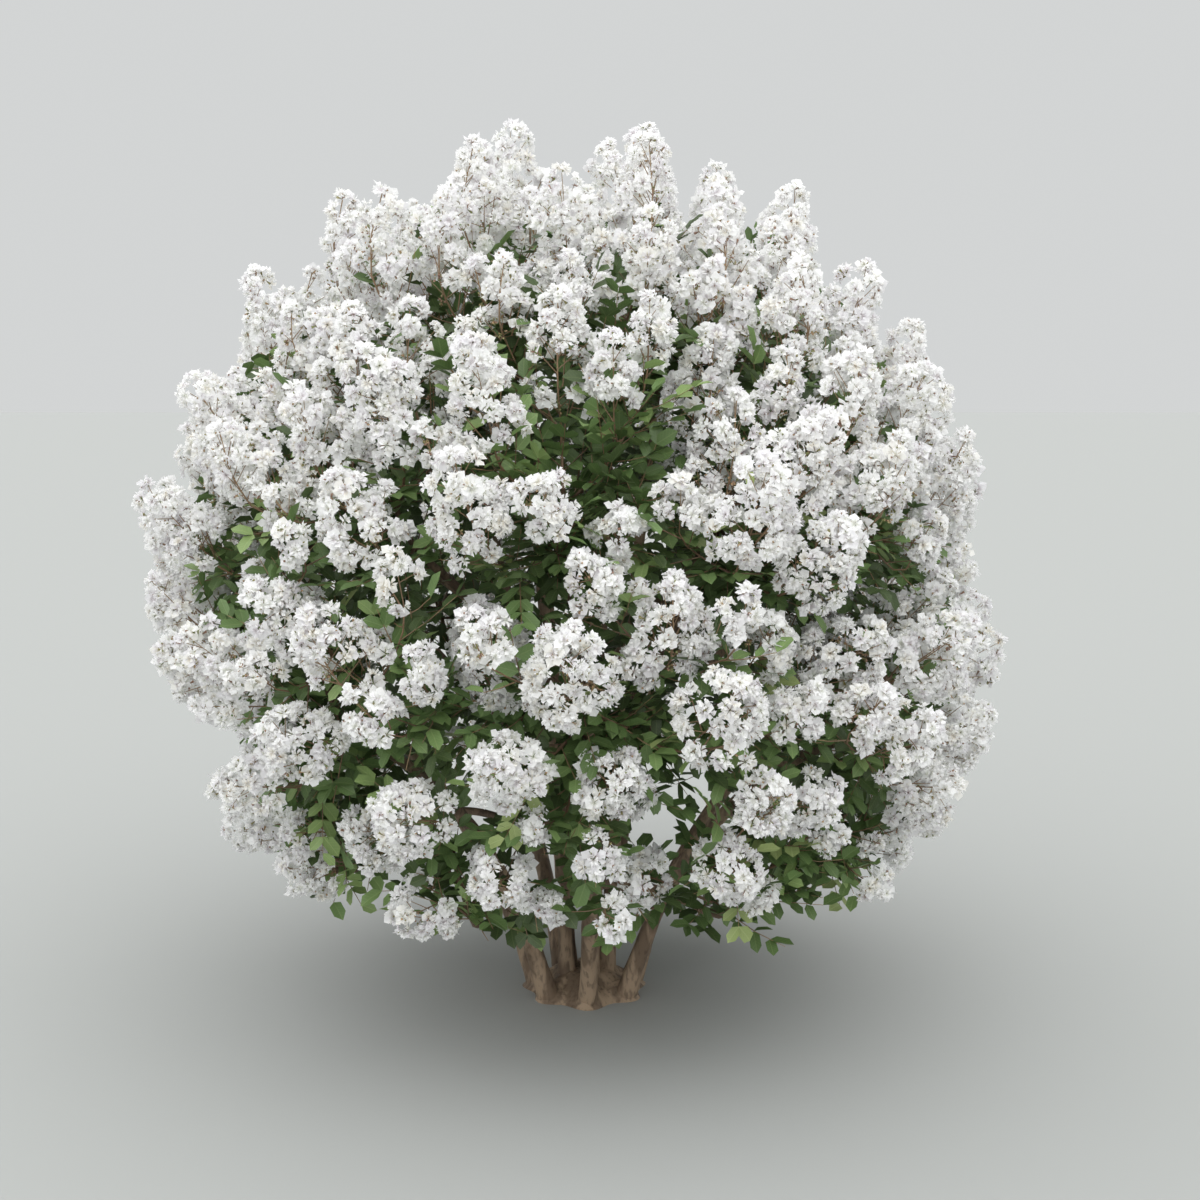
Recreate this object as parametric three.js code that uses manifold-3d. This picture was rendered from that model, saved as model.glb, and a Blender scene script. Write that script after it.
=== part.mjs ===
// White crape myrtle: a many-stemmed, ball-crowned flowering shrub, rooted in the ground.
//
// Millimetres, +Z up. The origin is the middle of the flat cut at ground level. Bearings are turns round
// the upright axis, in degrees: 0 is the front (-Y), and a growing bearing goes to the viewer's right (+X).
//
// From the ground up: one root crown with a flare and a stub for each stem, five inner stems that carry a
// top mass and two shoulder masses each, seven outer stems that carry a middle mass and a skirt mass each,
// and the masses themselves. A mass is one leader that branches into shoots, and each shoot has leaves and
// ends in a flower head or in leaves alone. Each mass keeps to the points that are nearer to its own hub
// than to any other hub, and stays clear of every limb.

import * as THREE from "three";
import { mergeVertices } from "three/addons/utils/BufferGeometryUtils.js";
import Module from "manifold-3d";

const wasm = await Module();
wasm.setup();

// ---------------------------------------------------------------- driving dimensions

const CROWN_RADIUS = 1025; // from the crown's middle to the tips of its flower heads
const CROWN_MIDDLE = 945; // the height of that middle over the ground
const CROWN_TOP_RISE = 0.045; // how much further the crown reaches straight up, as a share
const CROWN_LOWEST = -33.5; // the lowest flower heads, in degrees below the crown's middle

const SHOOT_COUNT = 205; // shoots that reach the crown's surface, with or without a flower head
const SHOOT_TURN = 139; // the bearing of the first of them, in degrees
const SURFACE_DEPTH = 150; // how far inside the surface the deepest tips stay
const SURFACE_SWAY = 50; // how far a tip strays sideways from its even place

// Broad bulges and flats of the crown: where, how wide in degrees, and by which share of the radius.
const LOBES = [
  { bearing: -103, height: 44, wide: 40, rise: 0.004 },
  { bearing: 94, height: 17, wide: 34, rise: -0.123 },
  { bearing: 83, height: -30, wide: 24, rise: -0.033 },
  { bearing: -75, height: -15, wide: 15, rise: -0.124 },
  { bearing: 31, height: -52, wide: 20, rise: 0.081 },
  { bearing: 177, height: 10, wide: 45, rise: -0.027 },
];

// A flower head is a blunt lumpy cone. Its size goes from the skirt over the middle to the top.
const HEAD_LENGTH = { low: 160, middle: 235, high: 300 };
const HEAD_WIDTH = { low: 160, middle: 188, high: 168 };
const HEAD_LIFT = 38; // degrees by which a head at the crown's middle height turns up from level
const HEAD_STRAY = { size: 0.16, rise: 7, bearing: 9 }; // a share of the size, and degrees
const HEAD_SIDES = 4; // each ring of a head is turned by half a side from the ring below
const HEAD_OUTLINE = [
  { along: 0.24, out: 1 },
  { along: 0.66, out: 0.74 },
];
const HEAD_ROOM = { rounds: 12, share: 1 }; // how far heads keep apart, as a share of their width
const HEAD_LUMPS = 0.16; // how far a head's facets stand in and out, as a share

const LEAF = { length: 146, width: 76, thick: 5 }; // each stands for a small spray
const LEAF_ROOT = 1.5; // how far a leaf's root is sunk past the axis of its shoot
const LEAF_SPREAD = 58; // degrees between a leaf and its shoot
const LEAF_TILT = 0.45; // how much a leaf faces up rather than out along its shoot
const LEAF_PAIRS = {
  blooming: { pairs: 1, first: 0.45, last: 0.75 },
  leafy: { pairs: 2, first: 0.35, last: 1 },
};
const LEAF_ROOM = { own: 0.3, other: 0.56 }; // between a leaf and a head's axis, as a share of its width
const LEAF_SEED = 5000;

const GAP = 0.3; // between pieces that touch
const CELL_MARGIN = 1; // between two masses, on each side of their border
const LIMB_MARGIN = 2; // between a mass and a limb that passes it

const ROOT_CROWN = { radius: 150, height: 42, flare: 1.5, stub: 105, sides: 9 };
const STEM = { sides: 5, pieces: 4 };
const BOUGH = { sides: 5, pieces: 3, tip: 8.5, bend: { along: 0.28, away: 0.3 } };

// The leader of a mass starts "out" and "up" short of its hub. Its shoots begin between two shares of it.
const LEADER = { radius: 8.5, sides: 5, out: 105, up: 152, first: 0.22, last: 0.97 };
const SHOOT = { root: 5, tip: 4.5, sides: 3 };

// Stems of each ring: how many, how far from the axis at the ground, their radius at the foot and at the
// tip, and the point that the stem's bend leans on, by its distance from the axis and its height.
const INNER = { count: 5, turn: 14, foot: 48, thick: 18, thin: 9, bend: { out: 90, up: 800 } };
const OUTER = { count: 7, turn: 4, foot: 112, thick: 19, thin: 9, bend: { out: 300, up: 520 } };

// Hubs of the masses: distance from the axis and height. A bough leaves its stem at the share "fork".
const TOP = { out: 265, up: 1490 };
const SHOULDER = { out: 615, up: 1235, aside: 18, fork: 0.36, step: 0.16, thick: 11 };
const MIDDLE = { out: 745, up: 860 };
const SKIRT = { out: 640, up: 500, aside: 25, fork: 0.3, thick: 10.5 };
const HUB_STRAY = { bearing: 4, out: 0.05, up: 0.035 };

// Windows are hollows in the crown with leaves and no flower heads, in three rows round it. For each row:
// how many, the bearing of the first and the step to the next, the height angle, half the width and half
// the height in degrees, and how much deeper the shoots end there.
const WINDOW_ROWS = [
  { count: 4, bearing: 2, step: 90, height: 28.5, wide: 12, tall: 10, deep: 150 },
  { count: 3, bearing: 36.5, step: 120, height: 13, wide: 13, tall: 6.5, deep: 120 },
  { count: 5, bearing: -3.5, step: 72, height: -3, wide: 17.5, tall: 5.5, deep: 90 },
];
const LEAFY_SHARE = { low: 0.2, high: 0 }; // shoots that end in leaves, at the skirt and at the top
const LEAFY_END = { length: 90, width: 40 }; // the room that the last leaves of such a shoot take

// ---------------------------------------------------------------- small helpers

const UP = new THREE.Vector3(0, 0, 1);
const FRONT = new THREE.Vector3(0, -1, 0);
const rad = THREE.MathUtils.degToRad;
const mix = THREE.MathUtils.lerp;

// A seeded source of numbers from 0 to 1, so that the same plant grows every time.
function seeded(seed) {
  let state = seed | 0;
  return () => {
    state = (state + 0x6d2b79f5) | 0;
    let mixed = Math.imul(state ^ (state >>> 15), 1 | state);
    mixed = (mixed + Math.imul(mixed ^ (mixed >>> 7), 61 | mixed)) ^ mixed;
    return ((mixed ^ (mixed >>> 14)) >>> 0) / 4294967296;
  };
}

const stray = (random, most) => (2 * random() - 1) * most;

function place(bearing, out, up) {
  return new THREE.Vector3(Math.sin(rad(bearing)) * out, -Math.cos(rad(bearing)) * out, up);
}

// The shortest way to the segment a-b from the segment c-d.
function wayBetween(a, b, c, d) {
  const u = b.clone().sub(a);
  const v = d.clone().sub(c);
  const w = a.clone().sub(c);
  const uu = u.dot(u);
  const uv = u.dot(v);
  const vv = v.dot(v);
  const den = uu * vv - uv * uv;
  let s = den > 1e-9 ? (uv * v.dot(w) - vv * u.dot(w)) / den : 0;
  s = Math.min(1, Math.max(0, s));
  let t = (uv * s + v.dot(w)) / vv;
  if (t < 0 || t > 1) {
    t = Math.min(1, Math.max(0, t));
    s = Math.min(1, Math.max(0, (uv * t - u.dot(w)) / uu));
  }
  return w.addScaledVector(u, s).addScaledVector(v, -t);
}

const segmentDistance = (a, b, c, d) => wayBetween(a, b, c, d).length();

// ---------------------------------------------------------------- solids

function solidOf(geometry) {
  const bare = new THREE.BufferGeometry().setAttribute("position", geometry.getAttribute("position"));
  if (geometry.index) bare.setIndex(geometry.index);
  const merged = mergeVertices(bare, 1e-3);
  const corners = [];
  const index = merged.index.array;
  for (let i = 0; i < index.length; i += 3) {
    const [a, b, c] = [index[i], index[i + 1], index[i + 2]];
    if (a !== b && b !== c && c !== a) corners.push(a, b, c);
  }
  const mesh = new wasm.Mesh({
    numProp: 3,
    vertProperties: merged.attributes.position.array,
    triVerts: new Uint32Array(corners),
  });
  return new wasm.Manifold(mesh);
}

function geometryOf(solid) {
  const mesh = solid.getMesh();
  return new THREE.BufferGeometry()
    .setAttribute("position", new THREE.BufferAttribute(new Float32Array(mesh.vertProperties), 3))
    .setIndex(new THREE.BufferAttribute(new Uint32Array(mesh.triVerts), 1));
}

// The largest body of a joined solid: a scrap that lost its hold is dropped.
function wholeOf(solid) {
  return solid.decompose().reduce((best, one) => (one.volume() > best.volume() ? one : best));
}

// A closed bar through rings. Each ring has its middle, its radius and the way its axis looks, and may
// have a turn round that axis and lumps, which are a share of the radius for each side.
function barGeometry(rings, sides) {
  const bar = new THREE.CylinderGeometry(1, 1, 1, sides, rings.length - 1);
  const facing = rings[0].axis.clone().cross(Math.abs(rings[0].axis.z) < 0.9 ? UP : FRONT);
  const at = bar.getAttribute("position");
  for (let i = 0; i < at.count; i++) {
    const ring = rings[Math.round((at.getY(i) + 0.5) * (rings.length - 1))];
    const side = Math.round((Math.atan2(at.getZ(i), at.getX(i)) / (2 * Math.PI)) * sides + sides) % sides;
    const across = facing.clone().addScaledVector(ring.axis, -facing.dot(ring.axis)).normalize();
    across.applyAxisAngle(ring.axis, ring.turn ?? 0);
    const corner = across.clone().multiplyScalar(at.getX(i));
    corner.addScaledVector(ring.axis.clone().cross(across), -at.getZ(i));
    corner.multiplyScalar(ring.radius * (ring.lumps?.[side] ?? 1)).add(ring.middle);
    at.setXYZ(i, corner.x, corner.y, corner.z);
  }
  return bar;
}

// The rings of a round bar along a curve.
function ringsAlong(curve, radiusAt, pieces) {
  return Array.from({ length: pieces + 1 }, (_, k) => {
    const t = k / pieces;
    return { middle: curve.getPointAt(t), radius: radiusAt(t), axis: curve.getTangentAt(t) };
  });
}

// ---------------------------------------------------------------- limbs

// A limb from start to tip, bending towards lean. Its last stretch looks along the way into its mass.
function limb(name, start, lean, tip, thick, thin, { pieces, sides }) {
  const curve = new THREE.QuadraticBezierCurve3(start, lean, tip);
  const radiusAt = (t) => mix(thick, thin, t);
  const joints = curve.getSpacedPoints(pieces);
  const bars = joints.slice(1).map((to, k) => ({ from: joints[k], to, radius: radiusAt(k / pieces) }));
  return { name, curve, radiusAt, pieces, sides, bars, end: curve.getTangentAt(1) };
}

function hubOf(random, ring, bearing) {
  return place(
    bearing + stray(random, HUB_STRAY.bearing),
    ring.out * (1 + stray(random, HUB_STRAY.out)),
    ring.up * (1 + stray(random, HUB_STRAY.up)),
  );
}

// Where the bough or stem of a mass ends: short of the hub, coming from below and from the axis.
function tipBelow(hub) {
  const out = new THREE.Vector3(hub.x, hub.y, 0).normalize();
  return hub.clone().addScaledVector(out, -LEADER.out).addScaledVector(UP, -LEADER.up);
}

function stemTo(name, ring, bearing, hub) {
  const foot = place(bearing, ring.foot, 0);
  const lean = place(bearing, ring.bend.out, ring.bend.up);
  const start = foot.clone().lerp(lean, ROOT_CROWN.stub / lean.clone().sub(foot).length());
  return limb(name, start, lean, tipBelow(hub), ring.thick, ring.thin, STEM);
}

function boughTo(name, stem, ring, fork, hub) {
  const start = stem.curve.getPointAt(fork);
  const along = stem.curve.getTangentAt(fork);
  const tip = tipBelow(hub);
  const reach = tip.distanceTo(start);
  const away = new THREE.Vector3(tip.x - start.x, tip.y - start.y, 0).normalize();
  const lean = start.clone().addScaledVector(along, BOUGH.bend.along * reach);
  lean.addScaledVector(away, BOUGH.bend.away * reach);
  return limb(name, start, lean, tip, ring.thick, BOUGH.tip, BOUGH);
}

function growLimbs() {
  const random = seeded(11);
  const stems = [];
  const boughs = [];
  const hubs = [];
  const hubAt = (name, carrier, hub) => hubs.push({ name, hub, carrier });
  for (let k = 0; k < INNER.count; k++) {
    const bearing = INNER.turn + (360 / INNER.count) * k;
    const hub = hubOf(random, TOP, bearing);
    const stem = stemTo(`inner_stem_${k + 1}`, INNER, bearing, hub);
    stems.push(stem);
    hubAt(`top_mass_${k + 1}`, stem, hub);
    ["left", "right"].forEach((side, turn) => {
      const aside = hubOf(random, SHOULDER, bearing + (2 * turn - 1) * SHOULDER.aside);
      const fork = SHOULDER.fork + turn * SHOULDER.step;
      const bough = boughTo(`shoulder_bough_${k + 1}_${side}`, stem, SHOULDER, fork, aside);
      boughs.push({ ...bough, stem });
      hubAt(`shoulder_mass_${k + 1}_${side}`, bough, aside);
    });
  }
  for (let k = 0; k < OUTER.count; k++) {
    const bearing = OUTER.turn + (360 / OUTER.count) * k;
    const hub = hubOf(random, MIDDLE, bearing);
    const stem = stemTo(`outer_stem_${k + 1}`, OUTER, bearing, hub);
    stems.push(stem);
    hubAt(`middle_mass_${k + 1}`, stem, hub);
    const low = hubOf(random, SKIRT, bearing + SKIRT.aside);
    const bough = boughTo(`skirt_bough_${k + 1}`, stem, SKIRT, SKIRT.fork, low);
    boughs.push({ ...bough, stem });
    hubAt(`skirt_mass_${k + 1}`, bough, low);
  }
  return { stems, boughs, hubs };
}

function limbSolid(one, extra = 0) {
  return solidOf(barGeometry(ringsAlong(one.curve, (t) => one.radiusAt(t) + extra, one.pieces), one.sides));
}

// A bough starts inside its stem, and the stem is cut out of it with a small gap.
function boughSolid(bough) {
  return wholeOf(limbSolid(bough).subtract(limbSolid(bough.stem, GAP)));
}

// The root crown: a low flared mound with a stub for each stem, cut flat at ground level.
function rootCrownSolid(stems) {
  const { radius, height, flare, stub, sides } = ROOT_CROWN;
  const outline = [
    new THREE.Vector2(0, -height),
    new THREE.Vector2(radius, -height),
    new THREE.Vector2(radius, 0),
    new THREE.Vector2(0.62 * radius, height),
    new THREE.Vector2(0, height),
  ];
  const mound = new THREE.LatheGeometry(outline, sides).rotateX(Math.PI / 2);
  const parts = [solidOf(mound)];
  for (const stem of stems) {
    const along = stem.curve.getTangentAt(0);
    const top = stem.curve.getPointAt(0).addScaledVector(along, -GAP);
    const root = top.clone().addScaledVector(along, -1.3 * stub);
    const thick = stem.radiusAt(0);
    const rings = ringsAlong(new THREE.LineCurve3(root, top), (t) => thick * mix(flare, 1, t), 1);
    parts.push(solidOf(barGeometry(rings, stem.sides)));
  }
  return wholeOf(wasm.Manifold.union(parts).trimByPlane([0, 0, 1], 0));
}

// ---------------------------------------------------------------- the crown

// The borders of each mass: it keeps to the side of each plane where its own hub is.
function bordersOf(hubs) {
  return hubs.map((mine) =>
    hubs
      .filter((other) => other !== mine)
      .map((other) => {
        const across = other.hub.clone().sub(mine.hub).normalize();
        const middle = mine.hub.clone().add(other.hub).multiplyScalar(0.5);
        return { across, limit: across.dot(middle) - CELL_MARGIN };
      }),
  );
}

const within = (borders, points) => borders.every((b) => points.every((p) => b.across.dot(p) < b.limit));

// True if the bar from a to b, of that radius, keeps clear of every limb.
function clearOf(limbs, a, b, radius) {
  return limbs.every((one) =>
    one.bars.every((bar) => segmentDistance(a, b, bar.from, bar.to) > bar.radius + radius + LIMB_MARGIN),
  );
}

function turnBetween(a, b) {
  return Math.abs(((((a - b) % 360) + 540) % 360) - 180);
}

// How much deeper the shoots end at that place: 0 outside the windows.
function windowDepth(bearing, height) {
  for (const row of WINDOW_ROWS) {
    for (let k = 0; k < row.count; k++) {
      const wide = turnBetween(bearing, row.bearing + row.step * k) / row.wide;
      const tall = (height - row.height) / row.tall;
      if (wide * wide + tall * tall < 1) return row.deep;
    }
  }
  return 0;
}

// From the crown's middle to its surface, that way.
function reachAt(bearing, height) {
  const way = place(bearing, Math.cos(rad(height)), Math.sin(rad(height)));
  let share = 1 + CROWN_TOP_RISE * Math.max(0, way.z) ** 4;
  for (const lobe of LOBES) {
    const middle = place(lobe.bearing, Math.cos(rad(lobe.height)), Math.sin(rad(lobe.height)));
    share += lobe.rise * Math.exp(-((way.angleTo(middle) / rad(lobe.wide)) ** 2));
  }
  return CROWN_RADIUS * share;
}

// A size for that level, from -1 at the skirt over 0 to 1 at the top.
function sizeFor(sizes, level) {
  if (level > 0) return mix(sizes.middle, sizes.high, level);
  return mix(sizes.middle, sizes.low, Math.min(1, -2 * level));
}

// The tips of the shoots, spread evenly over the crown's ball by the golden angle.
function growTips() {
  const random = seeded(29);
  const golden = 180 * (3 - Math.sqrt(5));
  const lowest = Math.sin(rad(CROWN_LOWEST));
  const tips = [];
  for (let k = 0; k < SHOOT_COUNT; k++) {
    const level = mix(1, lowest, (k + 0.5) / SHOOT_COUNT);
    const height = THREE.MathUtils.radToDeg(Math.asin(level));
    const flat = Math.cos(rad(height));
    const bearing = SHOOT_TURN + golden * k;
    const window = windowDepth(bearing, height);
    const reach = reachAt(bearing, height) - SURFACE_DEPTH * random() ** 2 - window;
    const tip = place(bearing, flat * reach, CROWN_MIDDLE + level * reach);
    tip.add(new THREE.Vector3(stray(random, 1), stray(random, 1), 0).multiplyScalar(SURFACE_SWAY * flat));
    const rise = rad(height + HEAD_LIFT * flat + stray(random, HEAD_STRAY.rise));
    const axis = place(bearing + stray(random, HEAD_STRAY.bearing), Math.cos(rise), Math.sin(rise));
    const size = 1 + stray(random, HEAD_STRAY.size);
    const leafy = random() < mix(LEAFY_SHARE.high, LEAFY_SHARE.low, Math.min(1, 1 - level));
    const blooms = !window && !leafy;
    const length = blooms ? sizeFor(HEAD_LENGTH, level) * size : LEAFY_END.length;
    const width = blooms ? (sizeFor(HEAD_WIDTH, level) * (1 + size)) / 2 : LEAFY_END.width;
    const base = tip.clone().addScaledVector(axis, -length);
    tips.push({ base, axis, length, width, blooms, seed: 1000 + k });
  }
  return tips;
}

const topOf = (one) => one.base.clone().addScaledVector(one.axis, one.length);

// The rings of a flower head, from the foot of its axis to its tip.
function headRings({ base, axis, length, width }) {
  return [...HEAD_OUTLINE, { along: 1, out: 0 }].map((o, k) => ({
    middle: base.clone().addScaledVector(axis, o.along * length),
    radius: (o.out * width) / 2,
    axis,
    turn: (-(k + 1) * Math.PI) / HEAD_SIDES,
  }));
}

// A shoot that ends in its flower head, both in one bar.
function bloomingShoot(from, one) {
  const random = seeded(one.seed);
  const way = one.base.clone().sub(from).normalize();
  const rings = [
    { middle: from, radius: SHOOT.root, axis: way },
    { middle: one.base, radius: SHOOT.tip, axis: way.clone().add(one.axis).normalize() },
    ...headRings(one),
  ];
  for (const ring of rings) {
    ring.lumps = Array.from({ length: HEAD_SIDES }, () => 1 + stray(random, HEAD_LUMPS));
  }
  return barGeometry(rings, HEAD_SIDES);
}

function cornersOf(geometry) {
  const at = geometry.getAttribute("position");
  return Array.from({ length: at.count }, (_, i) => new THREE.Vector3().fromBufferAttribute(at, i));
}

// Moves a shoot's end so that it stays inside its borders, and makes it a little smaller if it must.
function pushInside(borders, one) {
  for (let round = 0; round < 16; round++) {
    let most = 0;
    for (const b of borders) {
      const reachOf = (ring) => b.across.dot(ring.middle) + (1 + HEAD_LUMPS) * ring.radius;
      const past = Math.max(...headRings(one).map(reachOf)) - b.limit;
      most = Math.max(most, past);
      if (past > 0) one.base.addScaledVector(b.across, -past - 1);
    }
    if (most <= 0) return;
    if (round % 8 === 7) {
      one.width *= 0.9;
      one.length *= 0.9;
    }
  }
}

// Draws a shoot's end back to the crown's surface if it stands out of it.
function drawBack(one) {
  const way = topOf(one);
  way.z -= CROWN_MIDDLE;
  const out = way.length();
  const bearing = THREE.MathUtils.radToDeg(Math.atan2(way.x, -way.y));
  const height = THREE.MathUtils.radToDeg(Math.asin(way.z / out));
  const past = out - reachAt(bearing, height);
  if (past > 0) one.base.addScaledVector(way, -past / out);
}

// Moves the shoots' ends of one mass apart until each has its own room, as far as the borders let them.
function settle(tips, borders) {
  for (let round = 0; round < HEAD_ROOM.rounds; round++) {
    tips.forEach((one, k) => {
      for (const other of tips.slice(k + 1)) {
        const room = (HEAD_ROOM.share * (one.width + other.width)) / 2;
        const way = wayBetween(one.base, topOf(one), other.base, topOf(other));
        const short = room - way.length();
        if (short <= 0) continue;
        way.setLength(short / 2);
        one.base.add(way);
        other.base.sub(way);
      }
    });
    for (const one of tips) {
      drawBack(one);
      pushInside(borders, one);
    }
  }
}

// One leaf: a flat eight-faced blade whose root is sunk in the shoot.
function leafGeometry({ root, way, face }) {
  const side = face.clone().cross(way).normalize();
  const up = way.clone().cross(side).normalize();
  const blade = new THREE.OctahedronGeometry(1)
    .scale(LEAF.length / 2, LEAF.width / 2, LEAF.thick / 2)
    .translate(LEAF.length / 2 - LEAF_ROOT, 0, 0);
  const placed = new THREE.Matrix4().makeBasis(way, side, up).setPosition(root);
  return blade.applyMatrix4(placed);
}

// Leaves in opposite pairs along a shoot, each pair turned a quarter from the last.
function leavesOn({ line, blooms, seed }) {
  const random = seeded(seed + LEAF_SEED);
  const { pairs, first, last } = blooms ? LEAF_PAIRS.blooming : LEAF_PAIRS.leafy;
  const along = line.getTangentAt(0.5);
  const level = along.clone().cross(UP).normalize();
  const face = along.clone().addScaledVector(UP, LEAF_TILT).normalize();
  const leaves = [];
  for (let k = 0; k < pairs; k++) {
    const root = line.getPointAt(mix(first, last, (k + 0.5) / pairs) + stray(random, 0.03));
    const turned = level.clone().applyAxisAngle(along, (k % 2) * (Math.PI / 2) + stray(random, 0.5));
    for (const side of [1, -1]) {
      const spread = rad(LEAF_SPREAD + stray(random, 10));
      const way = along.clone().multiplyScalar(Math.cos(spread));
      way.addScaledVector(turned, side * Math.sin(spread)).normalize();
      leaves.push({ root, way, face });
    }
  }
  return leaves;
}

// The leader of a mass: it carries on from the tip of the limb, a gap away from it, to the hub.
function leaderCurve({ hub, carrier }) {
  const start = carrier.curve.getPointAt(1).addScaledVector(carrier.end, GAP);
  const lean = start.clone().addScaledVector(carrier.end, start.distanceTo(hub) / 2);
  return new THREE.QuadraticBezierCurve3(start, lean, hub);
}

// The shoots of a mass that have room: each has its line from the leader to its base, and its solid.
function growShoots(mass, leader, borders, limbs) {
  const shoots = [];
  mass.tips.forEach((one, k) => {
    const from = leader.getPointAt(mix(LEADER.first, LEADER.last, (k + 0.5) / mass.tips.length));
    const top = topOf(one);
    const line = new THREE.LineCurve3(from, one.base);
    const geometry = one.blooms
      ? bloomingShoot(from, one)
      : barGeometry(ringsAlong(line, (t) => mix(SHOOT.root, SHOOT.tip, t), 1), SHOOT.sides);
    if (!within(borders, cornersOf(geometry))) return;
    if (!clearOf(limbs, from, one.base, SHOOT.root)) return;
    if (one.blooms && !clearOf(limbs, one.base, top, one.width / 2)) return;
    shoots.push({ ...one, line, top, solid: solidOf(geometry) });
  });
  return shoots;
}

// The solids of the leaves that have room among the heads, the limbs and each other.
function growLeaves(shoots, borders, limbs) {
  const heads = shoots.filter((shoot) => shoot.blooms);
  const placed = [];
  for (const shoot of shoots) {
    for (const leaf of leavesOn(shoot)) {
      const blade = leafGeometry(leaf);
      const tip = leaf.root.clone().addScaledVector(leaf.way, LEAF.length);
      const belly = leaf.root.clone().addScaledVector(leaf.way, 0.35 * LEAF.length);
      const inHead = heads.some((head) => {
        const room = (head === shoot ? LEAF_ROOM.own : LEAF_ROOM.other) * head.width;
        return segmentDistance(belly, tip, head.base, head.top) < room;
      });
      const inLeaf = placed.some((p) => segmentDistance(p.belly, p.tip, belly, tip) < 0.4 * LEAF.width);
      if (inHead || inLeaf) continue;
      if (!within(borders, cornersOf(blade)) || !clearOf(limbs, leaf.root, tip, LEAF.width / 2)) continue;
      placed.push({ belly, tip, solid: solidOf(blade) });
    }
  }
  return placed.map((leaf) => leaf.solid);
}

function massSolid(mass, borders, limbs) {
  const leader = leaderCurve(mass);
  settle(mass.tips, borders);
  const leaderRings = ringsAlong(leader, () => LEADER.radius, 2);
  const parts = [solidOf(barGeometry(leaderRings, LEADER.sides))];
  const shoots = growShoots(mass, leader, borders, limbs);
  parts.push(...shoots.map((shoot) => shoot.solid), ...growLeaves(shoots, borders, limbs));
  return wholeOf(wasm.Manifold.union(parts));
}

// ---------------------------------------------------------------- the plant

const bark = new THREE.MeshStandardMaterial({ color: 0x6b5646, roughness: 0.8, metalness: 0 });
const youngBark = new THREE.MeshStandardMaterial({ color: 0x6e4f3a, roughness: 0.75, metalness: 0 });
const crownGrowth = new THREE.MeshStandardMaterial({ color: 0xe9ece6, roughness: 0.7, metalness: 0 });

const plant = new THREE.Group();

function addNode(name, solid, material) {
  const mesh = new THREE.Mesh(geometryOf(solid), material);
  mesh.name = name;
  plant.add(mesh);
}

const { stems, boughs, hubs } = growLimbs();
const limbs = [...stems, ...boughs];
addNode("root_crown", rootCrownSolid(stems), bark);
for (const stem of stems) addNode(stem.name, limbSolid(stem), bark);
for (const bough of boughs) addNode(bough.name, boughSolid(bough), youngBark);

const borders = bordersOf(hubs);
for (const mass of hubs) mass.tips = [];
for (const one of growTips()) {
  const middle = one.base.clone().addScaledVector(one.axis, one.length / 2);
  const distances = hubs.map((mass) => mass.hub.distanceTo(middle));
  hubs[distances.indexOf(Math.min(...distances))].tips.push(one);
}
for (const mass of hubs) mass.tips.sort((a, b) => a.base.z - b.base.z);
hubs.forEach((mass, k) => addNode(mass.name, massSolid(mass, borders[k], limbs), crownGrowth));

export default plant;
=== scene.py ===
"""The looks of a white crape myrtle shrub in flower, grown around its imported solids.

Sizes are in millimetres and angles in degrees until a mesh is made, which is in metres. Bearings are turns
round the upright axis: 0 is the front (-Y), and a growing bearing goes to +X. The level of a place is the
sine of its height angle over the crown's middle. The limbs, the masses and the shoots follow the same seeded
rule as the solids, and are then carried on to finer twigs, leaves and flowers.
"""

import math
from types import SimpleNamespace as Bundle

import bpy
import numpy as np
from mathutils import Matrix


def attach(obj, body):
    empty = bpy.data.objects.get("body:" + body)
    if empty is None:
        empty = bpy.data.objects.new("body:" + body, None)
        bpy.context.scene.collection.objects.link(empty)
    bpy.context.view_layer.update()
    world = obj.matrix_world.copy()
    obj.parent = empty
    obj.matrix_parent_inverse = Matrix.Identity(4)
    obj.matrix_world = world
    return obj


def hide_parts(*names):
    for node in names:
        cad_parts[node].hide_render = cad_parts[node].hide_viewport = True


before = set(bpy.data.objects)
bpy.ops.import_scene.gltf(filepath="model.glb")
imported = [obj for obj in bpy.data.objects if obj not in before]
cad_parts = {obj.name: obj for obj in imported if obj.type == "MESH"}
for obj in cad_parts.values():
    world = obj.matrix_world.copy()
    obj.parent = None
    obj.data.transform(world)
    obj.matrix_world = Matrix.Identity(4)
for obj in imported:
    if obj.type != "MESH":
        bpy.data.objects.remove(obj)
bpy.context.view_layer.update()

# ---- sizes shared with the solids

MM = 0.001
LIMB_SEED = 11
TIP_SEED = 29

CROWN_RADIUS = 1025
CROWN_MIDDLE = 945
CROWN_TOP_RISE = 0.045
CROWN_LOWEST = -33.5

SHOOT_COUNT = 205
SHOOT_TURN = 139
SURFACE_DEPTH = 150
SURFACE_SWAY = 50

# Broad bulges and flats of the crown: bearing, height angle, width in degrees, share of the radius.
LOBES = [
    (-103, 44, 40, 0.004),
    (94, 17, 34, -0.123),
    (83, -30, 24, -0.033),
    (-75, -15, 15, -0.124),
    (31, -52, 20, 0.081),
    (177, 10, 45, -0.027),
]

# Sizes of a flower head at the skirt, at the middle and at the top of the crown.
HEAD_LENGTH = (160, 235, 300)
HEAD_WIDTH = (160, 188, 168)
HEAD_LIFT = 38
HEAD_STRAY = Bundle(size=0.16, rise=7, bearing=9)
HEAD_RINGS = ((0.24, 1), (0.66, 0.74), (1, 0))
HEAD_LUMPS = 0.16

# How the shoots' ends are moved apart: all in turn, and each inside its borders or else a little smaller.
SETTLE = Bundle(rounds=12, tries=16, shrink_after=8, shrink=0.9)

GAP = 0.3
CELL_MARGIN = 1
LIMB_MARGIN = 2

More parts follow.
